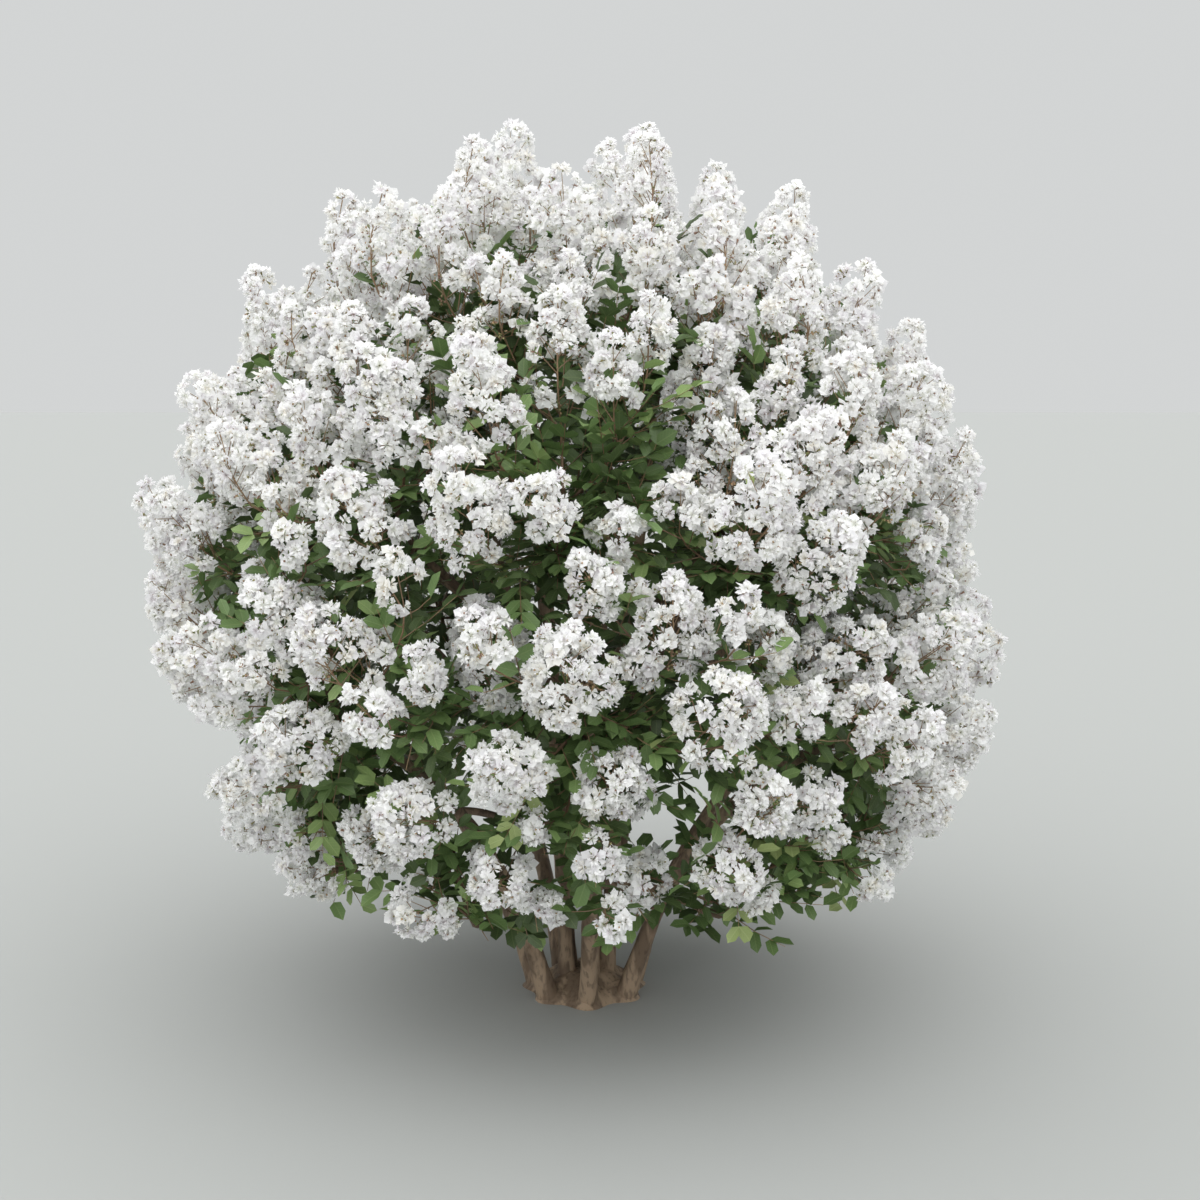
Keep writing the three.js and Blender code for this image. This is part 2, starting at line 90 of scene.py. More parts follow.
ROOT_CROWN = Bundle(radius=150, height=42, flare=1.5, stub=105)
STEM_PIECES = 4
BOUGH = Bundle(pieces=3, tip=8.5, along=0.28, away=0.3)
LEADER = Bundle(out=105, up=152, first=0.22, last=0.97)
SHOOT_ROOT = 5

INNER = Bundle(name="inner", count=5, turn=14, foot=48, thick=18, thin=9, bend_out=90, bend_up=800)
OUTER = Bundle(name="outer", count=7, turn=4, foot=112, thick=19, thin=9, bend_out=300, bend_up=520)

# The hubs of the masses. Boughs have rows: the side in their name, how far aside of their stem they go, and
# where they fork off.
TOP = Bundle(name="top", out=265, up=1490)
SHOULDER = Bundle(name="shoulder", out=615, up=1235, thick=11)
SHOULDER.boughs = (("_left", -18, 0.36), ("_right", 18, 0.52))
MIDDLE = Bundle(name="middle", out=745, up=860)
SKIRT = Bundle(name="skirt", out=640, up=500, thick=10.5, boughs=(("", 25, 0.3),))
HUB_STRAY = Bundle(bearing=4, out=0.05, up=0.035)

# Windows are hollows in the crown with leaves and no flower heads, in rows round it: how many, the bearing
# of the first and the step, the height angle, half the width and height, and how much deeper shoots end.
WINDOW_ROWS = [
    (4, 2, 90, 28.5, 12, 10, 150),
    (3, 36.5, 120, 13, 13, 6.5, 120),
    (5, -3.5, 72, -3, 17.5, 5.5, 90),
]
LEAFY = Bundle(low=0.2, length=90, width=40)

# ---- sizes of the fine growth

SEEDS = Bundle(lines=23, side_heads=35, flowers=7, leaves=19, bark=3)

# The outline of a flower head: how far it stands out along its axis, as a share of half its width. Then how
# many swellings there are along it, and how much they add.
HEAD_ALONG = (0, 0.1, 0.26, 0.44, 0.62, 0.78, 0.9, 1)
HEAD_OUT = (0.36, 0.8, 1.0, 0.95, 0.84, 0.7, 0.53, 0.24)
HEAD_TIERS = 2.3
HEAD_SWELL = 0.1

# Heads that are bare on their outer side, so that their stalk shows there: their share and how it grows with
# the level, how their shoot leans, bends and bows out, and which lumps of flowers are left out.
BARE = Bundle(
    share=0.6, start=0.1, growth=1.7, lean=(0.5, 0.6), bend=0.5, plain_bend=0.3, bow=0.15,
    open=0.9, upper=0.62, chance=0.8,
)

# A head has a leading spike, and side spikes that branch off its lower part: their number up to each level,
# and the shortest head that has so many. Their sizes are shares of the head's. One that would look to a bare
# side is turned away, and one that would end outside the crown is cut down.
LEAD_WIDTH = 0.84
BRANCHES = ((-0.3, 2), (0.5, 4), (1, 3))
BRANCHED = 130
BRANCH = Bundle(
    lean=(16, 34), length=(0.4, 0.62), width=(0.52, 0.66), top_shorter=0.15, root=(0, 0.28), out=0.1,
    open=0.6, turn_away=1.6, shortest=30, cut=0.85,
)

# The stalk of a spike: where a bare one bows out and how far, the tufts of buds on it, and where the
# branchlets to the lumps of flowers leave it.
STALK = Bundle(
    points=7, end=0.92, bow_along=(0, 0.25, 0.6, 0.92), bow_out=(0, 0.62, 0.52, 0), plain_bow=0.1,
    bare_tufts=2, tuft_out=7, tuft_size=(0.09, 0.15), plain_tufts=0.5, sunk=0.16, forks=(0.02, 0.9),
)

# The lumps of flowers that cover a spike: the surface that each covers, how far its flowers are from its
# middle, its stray along and round the spike, how the upper ones get smaller, and where the last one is.
# Those that look away from the crown's outer and upper side, or are in another spike's core, are left out.
LUMP = Bundle(
    area=2950, size=(11, 22), fewest=5, stray=0.35, turn=0.2, out=(0.84, 1.08), shrink=((0.6, 1), (1, 0.8)),
    tip=0.98, seen=-0.02, seen_above=0.5, neighbours=400, core=0.8,
)

# The open flowers of a lump: their number by its size, how far off its way they stand, and their own size.
FLOWERS = Bundle(
    fewest=4, full=7, full_size=21, power=1.4, stray=(-0.5, 0.8), polar=(63, 6), first_polar=(0, 14),
    turn=0.12, depth=(0.88, 1.1), size=28.5, sizes=(0.86, 1.1), tilt=0.16, rise=0.1,
)
# The plain flower in the middle of each lump, which shows through the gaps.
BACK = Bundle(size=50, depth=0.45, tilt=0.15)
BUDS = Bundle(
    counts=(0, 4), polar=(20, 85), out=3, depth=(0.9, 1.12), size=4.8, sizes=(0.75, 1.2),
    tuft_counts=(7, 14), tuft_depth=(0.35, 1),
)
CUP_SHARE = 0.33  # the share of flowers whose cup shows

# The petals of a flower: their stray round it, how they lift off its plane and twist, and how they crinkle.
PETALS = 6
PETAL = Bundle(turn=0.1, lift=(12, 20), twist=28, fold=(0.4, 1.5), ruffle=0.8, uneven=0.06)
PETAL.sizes = (0.9, 1.08)

# The smaller heads on side twigs: the places tried, their size as a share of other heads', how far out they
# end, and their stray. How near they may come to another head and how near they must be to one, as shares of
# its width and of their own. The roots of their twigs. The share of them that is left out up to each level.
SIDE = Bundle(
    tries=2400, size=(0.42, 0.68), wider=0.08, depth=(0.88, 0.985), sunk=0.09, rise=10, turn=12,
    room=((0, 0.4), (1, 0.42)), own_room=0.26, reach=0.55, own_reach=0.5,
    twig=260, below=60, roots=(0.3, 0.5, 0.7, 0.9),
    sparse=((-0.4, 0.4), (-0.08, 0.55), (1, 0)), window_sparse=0.95,
)

# Twigs: the radius at the root and at the tip, or at each of their points, and how many sides they have.
LEADER_TWIG = (8.5, 4.5, 8)
SHOOT_TWIG = (3.8, 2.4, 6)
SIDE_TWIG = (2.2, 1.6, 5)
STALK_TWIG = (2.3, 0.8, 5)
PLAIN_STALK_TWIG = (1.84, 0.64, 3)
BRANCHLET = ((1.2, 0.7), 3)
SPRIG_TWIG = ((1.6, 1.2, 0.7), 3)

# Leaves: their size, how they fold up along the midrib and arch down, the share of a spike's thickness that
# has none, and how they spread from their twig, at its root and at its tip.
LEAF = Bundle(
    length=46, width=29, lengths=(0.72, 1.16), widths=(0.88, 1.14), fold=0.3, arch=0.16, arches=(0.2, 1.9),
    flat_width=1.1, core=0.9,
)
LEAF_WAY = Bundle(spread=(64, 38), up=0.45, turn_stray=14, spread_stray=9, stray=0.1, up_stray=0.22)
# The steps between the leaf pairs of a sprig, of a shoot and of a stalk, and their share on a leafy shoot.
LEAF_STEP = Bundle(sprig=27, shoot=42, stalk=40, leafy=0.6)
# The layer of the crown that has leaves, as shares of the way from its middle to its surface. Then where a
# leaf's middle is, and from where it keeps how clear of limbs.
LEAVES = Bundle(
    lowest=290, deepest=0.36, outermost=0.9, stalk_outermost=0.97, middle=0.6, free=0.3, room=3,
)

# Sprigs are side twigs with a flat spray of leaves. The first of the cuts that ends in the leafy layer is
# taken as the share of its length.
SPRIG = Bundle(
    step=24, length=(80, 190), cuts=(1, 0.75, 0.5, 0.3), sag=0.06, spray_outward=0.5, spray_stray=0.25,
    along=0.6, aside=0.8, up=0.1, outward=0.25, stray=20, within=(0.1, 0.9), bend=0.5, first_leaf=0.2,
)

# The share of each green in the crown, and out from this share of the way to its surface; the darker greens
# that fill the deep crown are painted shade, and the paler ones outside stand partly for lit leaves. Then of
# each tint.
SHADED_INNER_GREENS = (0.34, 0.3, 0.2, 0.1, 0.04, 0.02)
OUTER_GREENS = (0.2, 0.26, 0.26, 0.16, 0.08, 0.04)
OUTER_FROM = 0.78
FLOWER_TINTS = (0.42, 0.3, 0.18, 0.1)
BACK_TINTS = (0.3, 0.3, 0.3, 0.1)
CUP_TINTS = (0.3, 0.3, 0.25, 0.15)

# Bark: how high its flutes are, how many go round a limb and how much they wind, then its plates and grain.
FLUTES = ((0.05, 3, 1.6), (0.035, 5, -2))
SWELL = Bundle(high=0.05, span=90)
PLATE = Bundle(sides=6, span=55, edge=0.55, steep=9)
ROUGH = Bundle(span=18, high=0.7)
STEM = Bundle(step=18, sides=18, bark=1.1, sunk=12, flare_rings=9, flare_power=0.6)
MOUND = Bundle(
    sides=96, rings=16, rim=0.91, lobe=0.08, wave=0.02, slope=0.5, steep=0.2, round=0.6, power=1.5,
    stem_high=20, stem_wide=36, rough=7, edge=0.12, patches=(30, 10),
)
BOUGH_BARK = Bundle(step=14, sides=12, bark=0.6, collar=0.35, collar_span=0.05)

GOLDEN = 180 * (3 - math.sqrt(5))
UP = np.array([0.0, 0.0, 1.0])
FRONT = np.array([0.0, -1.0, 0.0])
TIERS = ("top", "shoulder_left", "shoulder_right", "middle", "skirt")
SHARED_MAP = "OFBake"  # like pieces share one patch of this map, where their patterns are drawn
PATCH_EDGE = 0.02  # the patch's margin

# ---- small helpers

WORD = 0xFFFFFFFF
BEND_STEPS = 200
SPIKE_STEPS = 100
TWIG_POINTS = 9
STEEP = 0.9
TINY = 1e-12
PARALLEL = 1e-9


def seeded(seed):
    """A source of numbers from 0 to 1, the same one that the solids grow by."""
    state = seed

    def draw():
        nonlocal state
        state = (state + 0x6D2B79F5) & WORD
        mixed = ((state ^ (state >> 15)) * (state | 1)) & WORD
        mixed ^= (mixed + ((mixed ^ (mixed >> 7)) * (mixed | 61))) & WORD
        return (mixed ^ (mixed >> 14)) / (WORD + 1)

    return draw


def stray(draw, most):
    return (2 * draw() - 1) * most


def mix(a, b, share):
    return a + (b - a) * share


def up_to(rows, level):
    """The value of the first row whose limit is over that level."""
    return next(value for limit, value in rows if level < limit)


def pick(rng, shares, count=None):
    """Draws numbers of tints by the share of each."""
    return rng.choice(len(shares), count, p=shares)


def unit(v):
    return v / np.maximum(np.linalg.norm(v, axis=-1, keepdims=True), TINY)


def place(bearing, out, up):
    turn = np.radians(bearing)
    return np.stack(np.broadcast_arrays(np.sin(turn) * out, -np.cos(turn) * out, up), axis=-1).astype(float)


def turn_pair(a, b, angle):
    """Two ways at right angles, turned in their plane from the first towards the second, in radians."""
    c, s = np.cos(angle)[:, None], np.sin(angle)[:, None]
    return a * c + b * s, b * c - a * s


def level_across(ways):
    """A level direction across each way, or one across the front where the way is steep."""
    return np.cross(ways, np.where(np.abs(ways[:, 2:3]) > STEEP, FRONT, UP))


def frames_for(normals, turns):
    """Two ways across each normal, turned round it, and the normal itself, as rows."""
    across = unit(level_across(normals))
    return *turn_pair(across, np.cross(normals, across), turns), normals


def around(facing, turned, polar):
    """Ways that stand off from the facing by a polar angle, turned round it."""
    across, other, facing = frames_for(facing[None], np.zeros(1))
    return turn_pair(facing, turn_pair(across, other, turned)[0], polar)[0]


def way_between(a, b, c, d):
    """The shortest way to the segment a-b from the segment c-d. Any of them may be many."""
    u, v, w = b - a, d - c, a - c
    uu, vv = (u * u).sum(-1), (v * v).sum(-1)
    uv, uw, vw = (u * v).sum(-1), (u * w).sum(-1), (v * w).sum(-1)
    den = uu * vv - uv * uv
    s = np.clip((uv * vw - vv * uw) / np.where(den > PARALLEL, den, np.inf), 0, 1)
    t = (uv * s + vw) / vv
    held = np.clip(t, 0, 1)
    s = np.where(held == t, s, np.clip((uv * held - uw) / uu, 0, 1))
    return w + u * s[..., None] - v * held[..., None]


class Bend:
    """A curve from start to tip that leans to a third point, measured from 0 to 1 by its length."""

    def __init__(self, start, lean, tip):
        self.start, self.lean, self.tip = start, lean, tip
        self.turns = np.linspace(0, 1, BEND_STEPS + 1)
        steps = np.linalg.norm(np.diff(self.shape(self.turns), axis=0), axis=1)
        self.length = steps.sum()
        self.reached = np.concatenate([[0], np.cumsum(steps)]) / self.length

    def shape(self, t):
        t = np.asarray(t)[..., None]
        return (1 - t) ** 2 * self.start + 2 * t * (1 - t) * self.lean + t * t * self.tip

    def at(self, share):
        return self.shape(np.interp(share, self.reached, self.turns))

    def way(self, share):
        t = np.interp(share, self.reached, self.turns)[..., None]
        return unit((1 - t) * (self.lean - self.start) + t * (self.tip - self.lean))


# ---- limbs, by the rule of the solids


def limb(name, start, lean, tip, thick, thin, pieces):
    curve = Bend(start, lean, tip)
    joints = curve.at(np.linspace(0, 1, pieces + 1))
    radii = mix(thick, thin, np.arange(pieces) / pieces)
    bars = Bundle(start=joints[:-1], end=joints[1:], radius=radii)
    return Bundle(name=name, curve=curve, thick=thick, thin=thin, bars=bars, end=curve.way(1.0))


def hub_of(draw, ring, bearing):
    turned = bearing + stray(draw, HUB_STRAY.bearing)
    out = ring.out * (1 + stray(draw, HUB_STRAY.out))
    return place(turned, out, ring.up * (1 + stray(draw, HUB_STRAY.up)))


def tip_below(hub):
    return hub - unit(hub * (1, 1, 0)) * LEADER.out - UP * LEADER.up


def stem_to(name, ring, bearing, hub):
    foot = place(bearing, ring.foot, 0)
    lean = place(bearing, ring.bend_out, ring.bend_up)
    start = mix(foot, lean, ROOT_CROWN.stub / np.linalg.norm(lean - foot))
    stem = limb(name, start, lean, tip_below(hub), ring.thick, ring.thin, STEM_PIECES)
    stem.foot = foot
    return stem


def bough_to(name, stem, ring, fork, hub):
    start = stem.curve.at(fork)
    tip = tip_below(hub)
    reach = np.linalg.norm(tip - start)
    lean = start + stem.curve.way(fork) * BOUGH.along * reach
    lean += unit((tip - start) * (1, 1, 0)) * BOUGH.away * reach
    return limb(name, start, lean, tip, ring.thick, BOUGH.tip, BOUGH.pieces)


def grow_limbs():
    """The stems, the boughs, and the masses that they carry."""
    draw = seeded(LIMB_SEED)
    stems, boughs, masses = [], [], []

    def carry(number, ring, side, carrier, hub):
        name = f"{ring.name}_mass_{number}{side}"
        masses.append(Bundle(name=name, tier=ring.name + side, carrier=carrier, hub=hub, tips=[]))

    for ring, ends, forks in ((INNER, TOP, SHOULDER), (OUTER, MIDDLE, SKIRT)):
        for k in range(ring.count):
            bearing = ring.turn + 360 / ring.count * k
            hub = hub_of(draw, ends, bearing)
            stem = stem_to(f"{ring.name}_stem_{k + 1}", ring, bearing, hub)
            stems.append(stem)
            carry(k + 1, ends, "", stem, hub)
            for side, aside, fork in forks.boughs:
                hub = hub_of(draw, forks, bearing + aside)
                bough = bough_to(f"{forks.name}_bough_{k + 1}{side}", stem, forks, fork, hub)
                boughs.append(bough)
                carry(k + 1, forks, side, bough, hub)
    return stems, boughs, masses


# ---- shoots, by the rule of the solids


def borders_of(masses, mine):
    """The planes half way to the other hubs: which way each looks, and how far a point may go that way."""
    others = np.array([m.hub for m in masses if m is not mine])
    across = unit(others - mine.hub)
    limits = (across * (others + mine.hub) / 2).sum(-1) - CELL_MARGIN
    return across, limits


def window_depth(bearing, height):
    for count, first, step, level, wide, tall, deep in WINDOW_ROWS:
        for k in range(count):
            turned = abs((bearing - first - step * k + 180) % 360 - 180)
            if (turned / wide) ** 2 + ((height - level) / tall) ** 2 < 1:
                return deep
    return 0


def reach_towards(ways):
    """From the crown's middle to its surface, along each of those ways."""
    share = 1 + CROWN_TOP_RISE * np.maximum(0, ways[..., 2]) ** 4
    for bearing, height, wide, rise in LOBES:
        level = math.radians(height)
        middle = place(bearing, math.cos(level), math.sin(level))
        away = np.degrees(np.arccos(np.clip(ways @ middle, -1, 1)))
        share = share + rise * np.exp(-((away / wide) ** 2))
    return CROWN_RADIUS * share


def depth_share(points):
    """How near points are to the crown's surface: 0 at its middle, 1 at the surface."""
    out = points - UP * CROWN_MIDDLE
    return np.linalg.norm(out, axis=-1) / reach_towards(unit(out))


def size_for(sizes, level):
    low, middle, high = sizes
    return mix(middle, high, level) if level > 0 else mix(middle, low, min(1, -2 * level))


def spot_on_ball(k, count):
    """The k-th of so many even places on the crown's ball: its level, its height angle, and its cosine."""
    level = mix(1, math.sin(math.radians(CROWN_LOWEST)), (k + 0.5) / count)
    height = math.degrees(math.asin(level))
    return level, height, math.cos(math.radians(height))


def head_axis(bearing, height, flat, more_rise, more_bearing):
    """The way that a flower head looks: outward, and lifted more the steeper the crown's side is there."""
    rise = math.radians(height + HEAD_LIFT * flat + more_rise)
    return place(bearing + more_bearing, math.cos(rise), math.sin(rise))


def grow_tips():
    """The tips of the shoots, spread evenly over the crown's ball by the golden angle."""
    draw = seeded(TIP_SEED)
    tips = []
    for k in range(SHOOT_COUNT):
        level, height, flat = spot_on_ball(k, SHOOT_COUNT)
        bearing = SHOOT_TURN + GOLDEN * k
        window = window_depth(bearing, height)
        reach = reach_towards(place(bearing, flat, level)) - SURFACE_DEPTH * draw() ** 2 - window
        tip = place(bearing, flat * reach, CROWN_MIDDLE + level * reach)
        tip = tip + np.array([stray(draw, 1), stray(draw, 1), 0]) * SURFACE_SWAY * flat
        strays = stray(draw, HEAD_STRAY.rise), stray(draw, HEAD_STRAY.bearing)
        axis = head_axis(bearing, height, flat, *strays)
        size = 1 + stray(draw, HEAD_STRAY.size)
        leafy = draw() < LEAFY.low * min(1, 1 - level)
        blooms = not window and not leafy
        length = size_for(HEAD_LENGTH, level) * size if blooms else LEAFY.length
        width = size_for(HEAD_WIDTH, level) * (1 + size) / 2 if blooms else LEAFY.width
        base = tip - axis * length
        tips.append(Bundle(base=base, axis=axis, length=length, width=width, blooms=blooms, level=level))
    return tips


def top_of(one):
    return one.base + one.axis * one.length


def push_inside(across, limits, one):
    """Moves a shoot's end so that it stays inside its borders, and makes it a little smaller if it must."""
    along, out = np.array(HEAD_RINGS).T
    for turn in range(SETTLE.tries):
        most = 0
        for way, limit in zip(across, limits):
            reach = way @ one.base + along * one.length * (way @ one.axis)
            past = (reach + (1 + HEAD_LUMPS) * out * one.width / 2).max() - limit
            most = max(most, past)
            if past > 0:
                one.base = one.base - way * (past + 1)
        if most <= 0:
            return
        if (turn + 1) % SETTLE.shrink_after == 0:
            one.width *= SETTLE.shrink
            one.length *= SETTLE.shrink


def draw_back(one):
    out = top_of(one) - UP * CROWN_MIDDLE
    past = np.linalg.norm(out) - reach_towards(unit(out))
    if past > 0:
        one.base = one.base - unit(out) * past


def settle(tips, across, limits):
    """Moves the shoots' ends of one mass apart until each has its own room, as far as the borders let it."""
    for _ in range(SETTLE.rounds):
        for k, one in enumerate(tips):
            for other in tips[k + 1 :]:
                way = way_between(one.base, top_of(one), other.base, top_of(other))
                short = (one.width + other.width) / 2 - np.linalg.norm(way)
                if short > 0:
                    way = unit(way) * short / 2
                    one.base = one.base + way
                    other.base = other.base - way
        for one in tips:
            draw_back(one)
            push_inside(across, limits, one)


def clear_of(bars, a, b, radius):
    """Whether the bar from a to b, of that radius, keeps clear of every limb. a and b may be many."""
    a, b = np.asarray(a)[..., None, :], np.asarray(b)[..., None, :]
    away = np.linalg.norm(way_between(a, b, bars.start, bars.end), axis=-1)
    return (away > bars.radius + radius + LIMB_MARGIN).all(-1)


def leader_of(mass):
    """The leader carries on from the tip of the limb, a gap away from it, to the hub of the mass."""
    start = mass.carrier.curve.at(1.0) + mass.carrier.end * GAP
    lean = start + mass.carrier.end * np.linalg.norm(mass.hub - start) / 2
    return Bend(start, lean, mass.hub)


def grow_shoots(masses, bars):
    """The shoots that have room, each from its leader to the base of its flower head or its last leaves."""
    shoots = []
    hubs = np.array([mass.hub for mass in masses])
    for one in grow_tips():
        middle = one.base + one.axis * one.length / 2
        masses[np.linalg.norm(hubs - middle, axis=1).argmin()].tips.append(one)
    for mass in masses:
        mass.leader = leader_of(mass)
        mass.tips.sort(key=lambda one: one.base[2])
        settle(mass.tips, *borders_of(masses, mass))
        for k, one in enumerate(mass.tips):
            one.root = mass.leader.at(mix(LEADER.first, LEADER.last, (k + 0.5) / len(mass.tips)))
            one.tier = mass.tier
            room = clear_of(bars, one.root, one.base, SHOOT_ROOT)
            if one.blooms:
                room = room and clear_of(bars, one.base, top_of(one), one.width / 2)
            if room:
                shoots.append(one)
    return shoots


# ---- joined meshes


def put_object(name, data):
    """An object with that data, in the scene."""
    made = bpy.data.objects.new(name, data)
    bpy.context.scene.collection.objects.link(made)
    return made


class Heap:
    """Many small loose shapes of one kind, which are joined into one piece with these materials."""

    def __init__(self, materials):
        self.materials = materials
        self.points, self.faces, self.maps, self.finishes = [], [], [], []
        self.total = 0

    def add(self, points, faces, flat, finish):
        """points: N shapes of K points. faces: rows of K's numbers. flat: each point's place on the pattern,
        from 0 to 1, for the K points. finish: which material each of the N shapes wears."""
        count, corners = points.shape[:2]
        index = faces[None] + self.total + corners * np.arange(count)[:, None, None]
        cells = np.repeat(np.broadcast_to(finish, count), len(faces))
        spots = np.broadcast_to(flat[faces], (count, *faces.shape, 2)).reshape(-1, faces.shape[1], 2).copy()
        across = PATCH_EDGE + (1 - 2 * PATCH_EDGE) * spots[..., 0]
        spots[..., 0] = (cells[:, None] + across) / len(self.materials)
        self.points.append(points.reshape(-1, 3))
        self.faces.append(index.reshape(-1, faces.shape[1]))
        self.maps.append(spots)
        self.finishes.append(cells)
        self.total += count * corners

    def add_tubes(self, points, finish):
        """points: N tubes of rings of points, each with as many. finish: as above."""
        count, rings, sides = points.shape[:3]
        k = np.arange(sides)
        ring = np.stack([k, (k + 1) % sides, (k + 1) % sides + sides, k + sides], 1)
        faces = np.concatenate([ring + sides * r for r in range(rings - 1)])
        flat = np.stack(np.meshgrid(k / sides, np.linspace(0, 1, rings)), -1).reshape(-1, 2)
        self.add(points.reshape(count, -1, 3), faces, flat, finish)

    def piece(self, name, smooth):
        """One object of all the shapes, in metres."""
        mesh = bpy.data.meshes.new(name)
        points = np.concatenate(self.points).astype(np.float32) * MM
        sizes = np.concatenate([np.full(len(f), f.shape[1]) for f in self.faces])
        corners = np.concatenate([f.ravel() for f in self.faces])
        mesh.vertices.add(len(points))
        mesh.vertices.foreach_set("co", points.ravel())
        mesh.loops.add(len(corners))
        mesh.loops.foreach_set("vertex_index", corners.astype(np.int32))
        mesh.polygons.add(len(sizes))
        starts = np.concatenate([[0], np.cumsum(sizes)[:-1]])
        mesh.polygons.foreach_set("loop_start", starts.astype(np.int32))
        mesh.polygons.foreach_set("material_index", np.concatenate(self.finishes).astype(np.int32))
        mesh.update(calc_edges=True)
        spots = np.concatenate([m.reshape(-1, 2) for m in self.maps]).astype(np.float32)
        mesh.uv_layers.new(name=SHARED_MAP).uv.foreach_set("vector", spots.ravel())
        mesh.polygons.foreach_set("use_smooth", np.full(len(sizes), smooth))
        for material in self.materials:
            mesh.materials.append(material)
        return put_object(name, mesh)


def tubes(heap, paths, radii, sides, finish):
    """Round twigs along N paths of R points each, with their radii there."""
    ways = unit(np.gradient(paths, axis=1))
    across = level_across(ways[:, 0])[:, None]
    across = unit(across - ways * (across * ways).sum(-1, keepdims=True))
    other = np.cross(ways, across)
    angle = np.arange(sides) * 2 * np.pi / sides
    rim = across[:, :, None] * np.cos(angle)[:, None] + other[:, :, None] * np.sin(angle)[:, None]
    radii = np.broadcast_to(radii, paths.shape[:2])
    heap.add_tubes(paths[:, :, None] + rim * radii[:, :, None, None], finish)


# ---- flowers

# A petal is a fan of pleats that spread from its claw to a ruffled and notched end. It is one long.
RUFFLED = Bundle(
    points=np.array([(0, 0.06, 0), (-0.34, 0.64, 0), (-0.16, 1, 0), (0.12, 0.82, 0), (0.36, 0.86, 0)]),
    faces=np.array([(0, 2, 1), (0, 3, 2), (0, 4, 3)]),
    flat=np.array([(0.5, 0), (0, 0.6), (0.25, 1), (0.65, 0.8), (1, 0.85)]),
    pleats=np.array([0, 0.13, -0.12, 0.13, -0.12]),
)
# A plain petal, for flowers that show through the gaps between the others.
PLAIN = Bundle(
    points=np.array([(0, 0.06, 0), (-0.38, 0.7, 0), (0, 1, 0), (0.38, 0.7, 0)]),
    faces=np.array([(0, 3, 2), (0, 2, 1)]),
    flat=np.array([(0.5, 0), (0, 0.7), (0.5, 1), (1, 0.7)]),
    pleats=np.array([0, 0.05, -0.05, 0.05]),
)
# A round closed bud, in radii.
BUD = Bundle(
    points=np.array([(0, 0, 0.62), (0.55, 0, 0), (-0.28, 0.48, 0), (-0.28, -0.48, 0), (0, 0, -0.75)]),
    faces=np.array([(0, 1, 2), (0, 2, 3), (0, 3, 1), (4, 2, 1), (4, 3, 2), (4, 1, 3)]),
    flat=np.array([(0.5, 1), (0, 0.5), (0.5, 0.5), (1, 0.5), (0.5, 0)]),
)
# The green and red-brown cup behind a flower, which runs down into its stalk.
CUP_RADIUS, CUP_BACK, CUP_STALK = 3.4, 0.6, 15
CUP_TURNS = np.arange(3) * 2 * np.pi / 3
CUP_ROUND = CUP_RADIUS * np.stack([np.cos(CUP_TURNS), np.sin(CUP_TURNS)], 1)
CUP = Bundle(
    points=np.vstack([np.column_stack([CUP_ROUND, np.full(3, -CUP_BACK)]), [(0, 0, -CUP_STALK)]]),
    faces=np.array([(0, 3, 1), (1, 3, 2), (2, 3, 0)]),
    flat=np.array([(0, 1), (1 / 3, 1), (2 / 3, 1), (0.5, 0)]),
)


def put_shapes(heap, rng, shape, spots, facings, sizes, tints):
    """Puts a shape at each spot, facing that way and turned at random."""
    basis = np.stack(frames_for(facings, rng.uniform(0, 2 * np.pi, len(spots))), 1)
    points = shape.points * np.reshape(sizes, (-1, 1, 1))
    heap.add(spots[:, None] + points @ basis, shape.faces, shape.flat, tints)


def put_flowers(heap, rng, petal, hearts, facings, sizes, tints):
    """Open flowers of six crinkled petals, each on a narrow claw."""
    count = len(hearts)
    across, other, facing = frames_for(facings, rng.uniform(0, 2 * np.pi, count))
    for k in range(PETALS):
        out = turn_pair(across, other, 2 * np.pi * k / PETALS + rng.normal(0, PETAL.turn, count))[0]
        along, face = turn_pair(out, facing, np.radians(rng.normal(*PETAL.lift, count)))
        twist = np.radians(rng.normal(0, PETAL.twist, count))
        aside, face = turn_pair(np.cross(along, face), face, twist)
        shape = np.broadcast_to(petal.points, (count, *petal.points.shape)).copy()
        fold = rng.uniform(*PETAL.fold, (count, 1)) * rng.choice((-1, 1), (count, 1))
        shape[..., 2] += (fold + rng.normal(0, PETAL.ruffle, shape.shape[:2])) * petal.pleats
        shape[..., :2] *= 1 + rng.normal(0, PETAL.uneven, shape[..., :2].shape)
        shape *= (sizes * rng.uniform(*PETAL.sizes, count))[:, None, None] / 2
        basis = np.stack([aside, along, face], 1)
        heap.add(hearts[:, None] + shape @ basis, petal.faces, petal.flat, tints)


